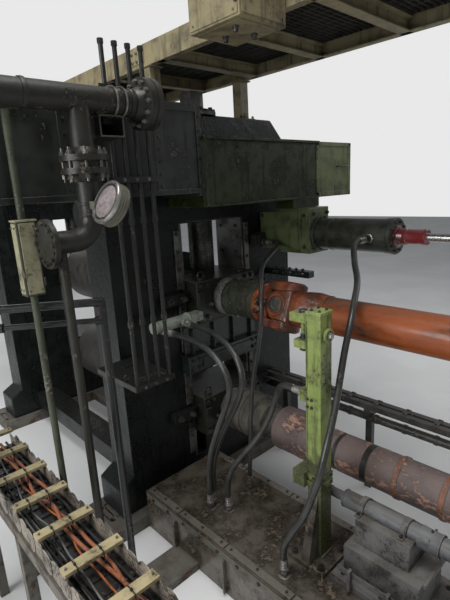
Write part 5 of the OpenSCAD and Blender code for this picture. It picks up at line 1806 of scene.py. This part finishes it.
@dataclass
class Services:
    """The water header, the small pipes, the rails, the pole box and the floodlight."""

    bolts: Fasteners
    header_at: tuple[float, float] = (-2.150, 3.235)
    header_r: float = 0.068
    branch_x: float = -1.490
    branch_r: float = 0.060
    lamp_at: Point = (-1.475, -2.355, 2.700)
    lamp_r: float = 0.110
    lamp_half: float = 0.033
    lamp_lean: float = 63.0
    pipe_xs: tuple[float, ...] = (-1.210, -1.122, -1.034, -0.946)
    pipe_y: float = -1.960
    clamp_zs: tuple[float, ...] = (2.830, 1.470)

    def build(self) -> None:
        """Makes every piece of the services."""
        self.header()
        self.branch()
        self.pipes()
        self.railing()
        self.rails()
        self.pole_box()
        self.floodlight()
        self.stub()

    def header(self) -> None:
        """U-bolts over the header's arms, bands and the blind flange's bolts."""
        y, z = self.header_at
        r = self.header_r
        bow = r + 0.007
        form = Form()
        bows = Form()
        nuts: list[Place] = []
        for x in (-1.975, -1.265):
            form.box((x - 0.045, y + 0.076, z - 0.105), (x + 0.045, y + 0.088, z + 0.105))
            for leg in (x - 0.028, x + 0.028):
                arch = [(leg, y + u, z + w) for u, w in arc(bow, range(90, 271, 15))]
                bows.tube([(leg, y + 0.112, z + bow), *arch, (leg, y + 0.112, z - bow)], 0.0065)
                nuts += grid(leg, y + 0.088, (z - bow, z + bow), BACK)
        bows.piece("header_u_bolts", Surface.BOLT)
        self.bolts.set("u_bolt_nuts", nuts, 0.020, surface=Surface.BOLT)
        for x in (-2.25, -1.78, -1.20):
            form.turned((x, y, z), RIGHT, [(0, r + 0.005), (0.012, r + 0.007), (0.024, r + 0.005)], 48,
                        bore=r - 0.001)
        form.piece("header_bands", Surface.HEADER)
        end = -1.080
        back = end - 0.036
        raised = [(0, 0.12), (0.004, 0.118), (0.006, 0.05), (0.012, 0.046)]
        faces = Form().turned((end, y, z), RIGHT, raised, 48)
        faces.turned((back, y, z), LEFT, [(0, 0.092), (0.012, 0.088), (0.050, r + 0.004)], 48, bore=r)
        faces.piece("blind_flange_faces", Surface.HEADER)
        for name, x, aim in (("blind_flange_bolts", end + 0.004, RIGHT), ("blind_flange_nuts", back, LEFT)):
            self.bolts.set(name, ring((x, y, z), aim, 0.116, 12), 0.022, Head.STUD, Surface.BOLT, shank=0.008)
        self.shelf()

    def shelf(self) -> None:
        """The open square tube on the girder, just under the header."""
        y, z = self.header_at
        wall = 0.009
        x0, x1, z1 = -1.385, -1.235, z - self.header_r - 0.001
        z0 = z1 - 0.115
        form = Form()
        for left, right, bottom, top in ((x0, x1, z1 - wall, z1), (x0, x1, z0, z0 + wall),
                                         (x0, x0 + wall, z0 + 0.002, z1 - 0.002),
                                         (x1 - wall, x1, z0 + 0.002, z1 - 0.002)):
            form.box((left, y - 0.015, bottom), (right, low("girder").y + 0.002, top))
        form.piece("header_shelf", Surface.SHELF, bevel=0.002)

    def branch(self) -> None:
        """Studs, gasket and neck rings of the branch's flange pair and the inlet flange."""
        x, y = self.branch_x, self.header_at[0]
        neck = [(0, 0.086), (0.014, 0.083), (0.040, 0.063)]
        form = Form()
        for z, aim, outline, bore in (
                (2.890, UP, [(0, 0.104), (0.035, 0.104)], self.branch_r), (2.955, UP, neck, self.branch_r),
                (2.860, DOWN, neck, self.branch_r), (2.700, UP, BEAD, 0.0595), (2.640, UP, BEAD, 0.0595)):
            form.turned((x, y, z), aim, outline, bore=bore)
        form.piece("branch_rings", Surface.HEADER)
        lower = ring((x, y, 2.860), UP, 0.108, 8, 22.5)
        spots = ring((x, y, 2.955), UP, 0.108, 8, 22.5) + ring((x, y, 2.860), DOWN, 0.108, 8, 22.5)
        self.bolts.set("branch_studs", spots, 0.024, Head.STUD, Surface.BOLT, shank=0.016)
        rods = Form()
        for spot, _ in lower:
            rods.rod(spot, spot + Vector((0, 0, 0.095)), 0.009, 12)
        rods.piece("branch_stud_rods", Surface.BOLT)
        self.bolts.set("inlet_bolts", ring((-1.760, y, 2.520), LEFT, 0.105, 8), 0.020)

    def pipes(self) -> None:
        """Clamp straps, nuts and unions on the four small pipes."""
        form = Form()
        for x in self.pipe_xs:
            for z, height, radius, sides in ((2.56, 0.034, 0.021, 6), (2.594, 0.016, 0.0175, 16),
                                             (1.90, 0.034, 0.021, 6), (1.934, 0.016, 0.0175, 16),
                                             (3.575, 0.028, 0.018, 6)):
                form.rod((x, self.pipe_y, z), (x, self.pipe_y, z + height), radius, sides)
        for z in self.clamp_zs:
            form.box((-1.238, -1.991, z - 0.014), (-0.918, -1.985, z + 0.014))
        form.piece("pipe_unions", Surface.PIPE, bevel=0.001)
        gaps = [(left + right) / 2 for left, right in zip(self.pipe_xs, self.pipe_xs[1:])]
        heads = [((x, -1.991, z), FRONT) for z in self.clamp_zs for x in gaps]
        self.bolts.set("pipe_clamp_bolts", heads, 0.016, surface=Surface.BOLT, shank=0.004)

    def railing(self) -> None:
        """Elbows and collars on the black guard rail."""
        form = Form()
        half = Vector((-0.93, 0.70, 0)).normalized() * 0.022
        for z, share in itertools.product((2.150, 2.040), (0.02, 0.5, 0.98)):
            middle = Vector((-1.470, -2.100, z)).lerp(Vector((-2.400, -1.400, z)), share)
            form.rod(middle - half, middle + half, 0.028)
        form.piece("rail_collars", Surface.RAILING, bevel=0.002)

    def rails(self) -> None:
        """Clamp plates and bolts along the side rails."""
        form = Form()
        heads: list[Place] = []
        for k in range(9):
            y = -3.72 + 0.26 * k
            form.box((0.640, y - 0.020, 0.850), (0.770, y + 0.020, 0.858))
            heads += grid((0.665, 0.745), y, 0.858, UP)
            form.turned((0.705, y, 0.700), BACK, [(-0.014, 0.041), (0.014, 0.041)], 28, bore=0.035)
        form.piece("rail_clamps", Surface.RAIL, bevel=0.0015)
        self.bolts.set("rail_clamp_bolts", heads, 0.014)

    def pole_box(self) -> None:
        """The pole box's door, hinges, screws and straps."""
        x0, x1, y0, y1, z0, z1 = -1.840, -1.740, -2.010, -1.925, 2.240, 2.640
        form = Form()
        form.box((x0 + 0.008, y0 - 0.005, z0 + 0.010), (x1 - 0.008, y0, z1 - 0.010))
        form.box((x0 - 0.004, y0 + 0.010, z0 + 0.012), (x0, y1 - 0.010, z1 - 0.012))
        form.box((x0 - 0.006, y0 - 0.006, z1 - 0.004), (x1 + 0.006, y1, z1 + 0.006))
        form.piece("pole_box_door", Surface.BOX, bevel=0.002)
        heads = grid((x0 + 0.018, x1 - 0.018), y0 - 0.005, (z0 + 0.03, z1 - 0.03), FRONT)
        heads += grid(x0 - 0.004, (y0 + 0.022, y1 - 0.022), (z0 + 0.035, z1 - 0.035), LEFT)
        self.bolts.set("pole_box_screws", heads, 0.009, Head.SOCKET, Surface.BOLT)
        hinges = Form()
        x, y = x1 + 0.003, y0 - 0.004
        for z in (z0 + 0.07, z1 - 0.07):
            hinges.rod((x, y, z - 0.02), (x, y, z + 0.02), 0.006, 12)
        hinges.piece("pole_box_hinges", Surface.DARK_BOLT)

    def floodlight(self) -> None:
        """The floodlight's rim, glass, cooling ribs and yoke screws."""
        turn = (Matrix.Translation(self.lamp_at) @ Matrix.Rotation(math.radians(-90), 4, "Z")
                @ Matrix.Rotation(math.radians(self.lamp_lean), 4, "X"))
        r, half = self.lamp_r, self.lamp_half
        for name, surface, outline, bore in (
                ("lamp_rim", Surface.SILVER, [(-0.016, r), (-0.010, r + 0.005), (0.002, r + 0.005),
                                              (0.008, r + 0.001)], r - 0.012),
                ("lamp_glass", Surface.GLASS, [(-0.004, r * 0.78), (0.003, r * 0.78), (0.006, r * 0.5),
                                               (0.008, r * 0.2)], 0.0),
                ("lamp_seal", Surface.BLACK, [(-0.004, r - 0.010), (0.003, r - 0.010)], r * 0.77)):
            form = Form().turned((0, 0, 0), UP, [(half + at, wide) for at, wide in outline], 56, bore=bore)
            form.turn(turn).piece(name, surface)
        back = Form().turned((0, 0, 0), DOWN, [
            (half - 0.002, r - 0.004), (half + 0.008, r - 0.012), (half + 0.022, r * 0.66),
            (half + 0.030, r * 0.3)], 56)
        for k in range(3):
            back.turned((0, 0, -half + 0.010 + 0.013 * k), UP, [(0, r + 0.0035), (0.005, r + 0.0035)], 56,
                        bore=r - 0.006)
        back.turn(turn).piece("lamp_back", Surface.LAMP)
        screws = [(turn @ spot, turn.to_3x3() @ Vector(way))
                  for spot, way in ring((0, 0, half + 0.006), UP, r - 0.004, 6)]
        self.bolts.set("lamp_screws", screws, 0.008, Head.SOCKET)

    def stub(self) -> None:
        """Rings and the bolted end of the pale hose stub."""
        y, z = -1.620, 1.725
        r = 0.046
        form = Form().turned((-0.830, y, z), RIGHT, [
            (0, 0), (0.004, r), (0.022, r + 0.007), (0.030, r + 0.007), (0.034, r + 0.001)])
        form.turned((-0.480, y, z), LEFT, [(0, r + 0.008), (0.016, r + 0.008), (0.018, r)])
        form.piece("stub_rings", Surface.STUB)
        nuts = Form()
        for x, level in ((-0.740, 1.690), (-0.560, 1.720)):
            nuts.rod((x, -1.668, level), (x, -1.690, level), 0.030, 6)
        nuts.piece("stub_nuts", Surface.SILVER, bevel=0.002)


class Links(Spreader):
    """Round plates with a raised rim and a rivet."""

    def __init__(self) -> None:
        """Builds the tree."""
        super().__init__("chain_links", plate=0.06, thickness=0.004, rim=0.042, rivet=0.012, rise=0.003)
        discs = []
        for radius, share, sides in (("plate", 0.0, 28), ("rim", 1.0, 24), ("rivet", 2.4, 12)):
            depth = self.node("ShaderNodeMath", {"operation": "MULTIPLY_ADD"},
                              {0: self.given["rise"], 1: share, 2: self.given["thickness"]})
            discs.append(self.node("GeometryNodeMeshCylinder", None, {
                "Vertices": sides, "Radius": self.given[radius], "Depth": depth.outputs[0]}).outputs[0])
        self.close(self.join(discs), self.aimed())

    def set(self, name: str, places: Iterable[Place], radius: float, surface: Surface) -> bpy.types.Object:
        """Sets one run of link plates of a radius."""
        return self.spread(name, places, surface, "stand", plate=radius, rim=radius * 0.7)


class Bars(Spreader):
    """Equal flat bars, centred on their places."""

    def __init__(self) -> None:
        """Builds the tree."""
        super().__init__("flat_bars", size=(0.0, 0.0, 0.0))
        bar = self.node("GeometryNodeMeshCube", None, {"Size": self.given["size"]})
        self.close(bar.outputs[0])

    def set(self, name: str, places: Iterable[Place], size: Point, surface: Surface) -> bpy.types.Object:
        """Sets one run of bars of a size."""
        return self.spread(name, places, surface, "stand", size=size)


@dataclass
class CableChain:
    """The cable chain's side plates, floor bars, cables, ties and screws."""

    bolts: Fasteners
    bars: Bars
    pitch: float = 0.100
    bar_pitch: float = 0.300
    bar_w: float = 0.060
    floor_t: float = 0.010
    seed: int = 11
    runs: tuple[tuple[Surface, float, float, float], ...] = (
        (Surface.CABLE_GREY, 0.006, -0.108, 0.004), (Surface.CABLE_BLACK, 0.007, -0.090, 0.008),
        (Surface.CABLE_GREY, 0.005, -0.074, 0.006), (Surface.CABLE_BLACK, 0.006, -0.056, 0.012),
        (Surface.CABLE_GREY, 0.005, -0.030, 0.018), (Surface.CABLE_COPPER, 0.010, 0.040, 0.014),
        (Surface.CABLE_COPPER, 0.010, 0.062, 0.014), (Surface.CABLE_ORANGE, 0.005, 0.020, 0.020),
        (Surface.CABLE_BLACK, 0.008, 0.100, 0.006))

    def build(self) -> None:
        """Makes every piece of the chain."""
        self.a, self.b = ends("cable_chain")
        self.middle = (self.a.x + self.b.x) / 2
        self.top = low("chain_crossbars").z
        self.walls()
        self.plates()
        self.cables()
        self.ties()

    def walls(self) -> None:
        """The thin side walls and floor that carry the link plates."""
        a, b = self.a, self.b
        floor = a.z + self.floor_t
        form = Form()
        for x in (a.x + 0.006, b.x - 0.010):
            form.box((x, a.y, a.z), (x + 0.004, b.y, self.top - 0.030))
        form.piece("chain_walls", Surface.CHAIN, replaces=["cable_chain"])
        # The floor and its bars are black steel as painted shade for the chain's dark inside.
        pan = Form().box((a.x + 0.010, a.y, a.z), (b.x - 0.010, b.y, floor))
        for x in (self.middle - 0.045, self.middle + 0.045):
            pan.box((x - 0.003, a.y + 0.01, floor - 0.002), (x + 0.003, b.y - 0.01, floor + 0.006))
        pan.piece("chain_floor", Surface.BLACK)
        count = int((b.y - a.y) / self.pitch)
        places = [((self.middle, a.y + self.pitch * (k + 0.5), floor + 0.004), UP) for k in range(count)]
        self.bars.set("chain_floor_bars", places, (b.x - a.x - 0.024, 0.026, 0.010), Surface.BLACK)

    def plates(self) -> None:
        """The scalloped link plates on both sides."""
        a, b = self.a, self.b
        radius = (self.top - a.z) / 2
        places: list[Place] = []
        for k in range(int((b.y - a.y - 2 * radius) / self.pitch) + 1):
            y = a.y + radius + 0.002 + self.pitch * k
            lean = 0.002 if k % 2 else 0.006
            places += [((a.x + lean, y, a.z + radius), LEFT), ((b.x - lean, y, a.z + radius), RIGHT)]
        Links().set("chain_links", places, radius, Surface.CHAIN)

    def cables(self) -> None:
        """The cables, which wander and cross inside the chain."""
        rng = random.Random(self.seed)
        forms: dict[Surface, Form] = {}
        last = 13
        for surface, radius, across, sway in self.runs:
            points = []
            for k in range(last + 1):
                y = self.a.y + 0.012 + (self.b.y - self.a.y - 0.024) * k / last
                drift = 0.0 if k in (0, last) else sway
                side = max(-0.12, min(0.12, across + rng.uniform(-1, 1) * drift * 1.6))
                points.append((self.middle + side, y,
                               self.a.z + 0.030 + radius + abs(rng.uniform(-1, 1)) * drift))
            forms.setdefault(surface, Form()).tube(smooth_path(points, 5), radius)
        for surface, form in forms.items():
            form.piece("chain_" + surface.name.lower(), surface)

    def ties(self) -> None:
        """Cable ties round the crossbars, and the screws at their ends."""
        rng = random.Random(self.seed + 1)
        form = Form()
        screws: list[Place] = []
        a, b = ends("chain_crossbars")
        half = self.bar_w / 2 + 0.003
        loop = ((-half, a.z - 0.050), (-half, b.z), (0.004 - half, b.z + 0.003), (half - 0.004, b.z + 0.003),
                (half, b.z), (half, a.z - 0.050))
        y = a.y
        while y < b.y - 0.01:
            middle = y + self.bar_w / 2
            for x in (self.middle + rng.uniform(-0.10, -0.05), self.middle + rng.uniform(0.0, 0.05)):
                form.tube([(x, middle + dy, z) for dy, z in loop], 0.0028, 6)
                form.box((x - 0.005, middle - 0.008, b.z + 0.001), (x + 0.005, middle + 0.004, b.z + 0.009))
            screws += grid((a.x + 0.018, b.x - 0.018), middle, b.z, UP)
            y += self.bar_pitch
        form.piece("cable_ties", Surface.CABLE_BLACK)
        self.bolts.set("crossbar_screws", screws, 0.012, Head.SOCKET, Surface.BOLT)


@dataclass
class Walkway:
    """The overhead walkway's channels, cross beams, grating, posts, and the junction box."""

    bolts: Fasteners
    bars: Bars
    sole: float = 3.700
    flange: float = 0.060
    web: float = 0.010
    deck_low: float = 3.799
    deck_high: float = 3.825
    cross_w: float = 0.080
    cross_h: float = 0.100
    cross_at: tuple[float, ...] = (-3.600, -2.900, -2.200, -1.500, -0.800, -0.100, 0.600, 1.370)
    post_w: float = 0.100
    bar_pitch: float = 0.042

    def build(self) -> None:
        """Makes every piece of the walkway."""
        self.a, self.b = ends("walkway")
        self.channels()
        self.cross_beams()
        self.grating()
        self.posts()
        self.box()

    def channels(self) -> None:
        """The two side channels, open towards the deck, with splice plates."""
        a, b = self.a, self.b
        form = Form()
        heads: list[Place] = []
        for side, x in ((1, a.x), (-1, b.x)):
            tip, web, out = x + side * self.flange, x + side * self.web, x - side * 0.008
            form.prism([(x, self.sole), (tip, self.sole), (tip, self.sole + 0.012), (web, self.sole + 0.016),
                        (web, b.z - 0.016), (tip, b.z - 0.012), (tip, b.z), (x, b.z)], "y", a.y, b.y)
            for y in (-1.15, 0.55):
                form.box((x, y - 0.12, self.sole + 0.03), (out, y + 0.12, b.z - 0.03))
                heads += grid(out, (y - 0.09, y - 0.03, y + 0.03, y + 0.09), (self.sole + 0.05, b.z - 0.05),
                              (-side, 0, 0))
        form.piece("walkway_channels", Surface.BEIGE, bevel=0.003, replaces=["walkway"])
        self.bolts.set("splice_bolts", heads, 0.020, surface=Surface.BEIGE, shank=0.004)

    def cross_beams(self) -> None:
        """The cross beams between the channels, with their end cleats."""
        form = Form()
        heads: list[Place] = []
        x0, x1 = self.a.x + self.web - 0.001, self.b.x - self.web + 0.001
        z0, z1 = self.sole, self.sole + self.cross_h
        half, web = self.cross_w / 2, 0.006
        for y in self.cross_at:
            m = y + half
            form.prism([(m - half, z0), (m + half, z0), (m + half, z0 + 0.010), (m + web, z0 + 0.014),
                        (m + web, z1 - 0.014), (m + half, z1 - 0.010), (m + half, z1), (m - half, z1),
                        (m - half, z1 - 0.010), (m - web, z1 - 0.014), (m - web, z0 + 0.014),
                        (m - half, z0 + 0.010)], "x", x0, x1)
            for s, x in ((1, x0), (-1, x1)):
                form.box((x, m + web, z0 + 0.02), (x + s * 0.09, m + 0.016, z1 - 0.02))
                heads += grid(x + s * 0.06, m + 0.016, (z0 + 0.035, z1 - 0.035), BACK)
        form.piece("walkway_cross_beams", Surface.BEIGE, bevel=0.002)
        self.bolts.set("cleat_bolts", heads, 0.018)

    def grating(self) -> None:
        """The deck: close bearing bars under a thin dark plate, a solid sheet of painted shade over the
        grating.
        """
        a, b = self.a, self.b
        x0, x1 = a.x + 0.045, b.x - 0.045
        long = b.y - a.y
        depth = self.deck_high - 0.006 - self.deck_low
        places = [(((x0 + x1) / 2, a.y + 0.02 + self.bar_pitch * k, self.deck_low + depth / 2), UP)
                  for k in range(int((long - 0.02) / self.bar_pitch))]
        self.bars.set("grating_bars", places, (x1 - x0, 0.006, depth), Surface.GRATE)
        places = [((x0 + 0.05 + 0.1 * k, (a.y + b.y) / 2, self.deck_low + 0.006), UP)
                  for k in range(int((x1 - x0) / 0.1))]
        self.bars.set("grating_rods", places, (0.007, long - 0.03, 0.007), Surface.GRATE)
        # The solid dark plate is painted shade: it closes the grating so that from below it reads dark.
        plate = Form().box((x0, a.y + 0.006, self.deck_high - 0.007), (x1, b.y - 0.006, self.deck_high))
        for x in (x0, x1 - 0.006):
            plate.box((x, a.y + 0.006, self.deck_low + 0.002),
                      (x + 0.006, b.y - 0.006, self.deck_high + 0.001))
        plate.piece("deck_shade_plate", Surface.GRATE)

    def posts(self) -> None:
        """The walkway's posts with foot plates, gussets and bolts."""
        form = Form()
        heads: list[Place] = []
        top = high("housing_ds").z
        foot = top + 0.016
        half = self.post_w / 2
        for y, x in itertools.product((-1.280, 1.280), (self.a.x + half, self.b.x - self.post_w + half)):
            for more, bottom, upper in ((0.0, top, self.sole + 0.002), (0.045, top, foot),
                                        (0.02, self.sole - 0.012, self.sole)):
                form.box((x - half - more, y - half - more, bottom),
                         (x + half + more, y + half + more, upper))
            for s in BOTH:
                form.prism([(y + s * half, foot), (y + s * (half + 0.040), foot),
                            (y + s * half, top + 0.075)],
                           "x", x - 0.005, x + 0.005)
            edge = half + 0.025
            heads += grid((x - edge, x + edge), (y - edge, y + edge), foot, UP)
        form.piece("walkway_posts", Surface.BEIGE, bevel=0.003)
        self.bolts.set("walkway_post_bolts", heads, 0.022, Head.STUD, shank=0.006)

    def box(self) -> None:
        """The junction box's folded edges, door, hinges and screws."""
        a, b = ends("junction_box")
        side, front, middle = a.x - 0.006, a.y - 0.006, (a.z + b.z) / 2
        form = Form()
        form.box((side, a.y + 0.012, a.z + 0.012), (a.x, b.y - 0.012, b.z - 0.02))
        form.box((a.x + 0.014, front, a.z + 0.014), (b.x - 0.014, a.y, b.z - 0.02))
        form.box((a.x + 0.03, a.y + 0.03, a.z - 0.005), (b.x - 0.03, b.y - 0.03, a.z))
        form.box((a.x - 0.010, a.y - 0.010, b.z - 0.004), (b.x, b.y + 0.006, b.z + 0.012))
        form.piece("junction_box_door", Surface.BEIGE, bevel=0.002)
        fittings = Form()
        for z in (a.z + 0.09, b.z - 0.10):
            x, y = a.x - 0.010, a.y + 0.020
            fittings.rod((x, y, z - 0.028), (x, y, z + 0.028), 0.008, 14)
        fittings.turned((side, b.y - 0.05, middle), LEFT, [(0, 0.016), (0.010, 0.016), (0.013, 0.012)], 24)
        for dx, dy in ((0.09, 0.12), (0.17, 0.28), (0.27, 0.15)):
            fittings.turned((a.x + dx, a.y + dy, a.z - 0.005), DOWN, [
                (0, 0.019), (0.012, 0.019), (0.014, 0.015), (0.030, 0.014)], 20)
        fittings.piece("junction_box_fittings", Surface.DARK_BOLT, bevel=0.001)
        heads = grid(side, (a.y + 0.04, b.y - 0.04), (a.z + 0.035, middle + 0.08, b.z - 0.05), LEFT)
        heads += grid((a.x + 0.035, b.x - 0.04), front, (a.z + 0.035, b.z - 0.05), FRONT)
        self.bolts.set("junction_box_screws", heads, 0.012, Head.RIVET, Surface.BOLT)


PLAIN: dict[Surface, dict[str, float]] = {
    Surface.CASTING: {"housing_ds": 0.014, "housing_os": 0.014, "housing_ties": 0.010, "keepers": 0.005,
                      "chock_rests": 0.006},
    Surface.BASE: {"sole_frame": 0.006, "chain_trough": 0.003},
    Surface.BED: {"bed": 0.004, "post_foot": 0.004},
    Surface.LINER: {"liners": 0.002},
    Surface.SCREW: {"adjusting_screws": 0.003},
    Surface.SEAL: {"seal_rings": 0.004},
    Surface.ROLL: {"roll_top": 0.0, "roll_bottom": 0.0},
    Surface.CHOCK: {"chock_top_ds": 0.008, "chock_top_os": 0.008, "chock_bottom_ds": 0.008,
                    "chock_bottom_os": 0.008},
    Surface.TEAL: {"window_beam": 0.006, "slotted_bar": 0.003},
    Surface.HUB: {"hub_top": 0.0},
    Surface.DISC: {"coupling_bottom": 0.0},
    Surface.BLACK: {"latch_block": 0.004},
    Surface.ORANGE: {"spindle_top": 0.0},
    Surface.MAUVE: {"spindle_bottom": 0.0},
    Surface.GIRDER: {"girder": 0.004, "cover_strip": 0.003},
    Surface.COVER: {"cover_box": 0.004},
    Surface.PANEL: {"cover_end": 0.004, "bracket_block": 0.004},
    Surface.CYLINDER: {"shift_cylinder": 0.0},
    Surface.RAM: {"ram": 0.0},
    Surface.PEDESTAL: {"pedestal": 0.005},
    Surface.STUB: {"hose_stub": 0.0},
    Surface.LIME: {"support_post": 0.004},
    Surface.RAIL: {"side_rails": 0.003},
    Surface.PIPE: {"small_pipes": 0.0, "pipe_clamps": 0.003},
    Surface.RAILING: {"guard_rail": 0.0},
    Surface.HEADER: {"water_header": 0.0},
    Surface.POLE: {"pole": 0.0},
    Surface.LAMP: {"floodlight": 0.0},
    Surface.CROSSBAR: {"chain_crossbars": 0.002},
    Surface.BEIGE: {"junction_box": 0.004},
}


def main() -> None:
    """Builds and dresses the whole stand in order."""
    logging.basicConfig(level=logging.INFO, format="%(name)s %(message)s")
    room = Room()
    room.set_camera()
    Hoses().build()
    room.lay_floor()
    room.light()
    for surface, nodes in PLAIN.items():
        for node, bevel in nodes.items():
            dress(node, surface, bevel)
    bolts, bars = Fasteners(), Bars()
    for part in (StandTrim(bolts), DriveLine(bolts), FrontCovers(bolts), ShiftGear(bolts), PostAndBed(bolts),
                 Services(bolts), CableChain(bolts, bars), Walkway(bolts, bars)):
        LOG.info("building %s", type(part).__name__)
        part.build()


if __name__ == "__main__":
    main()
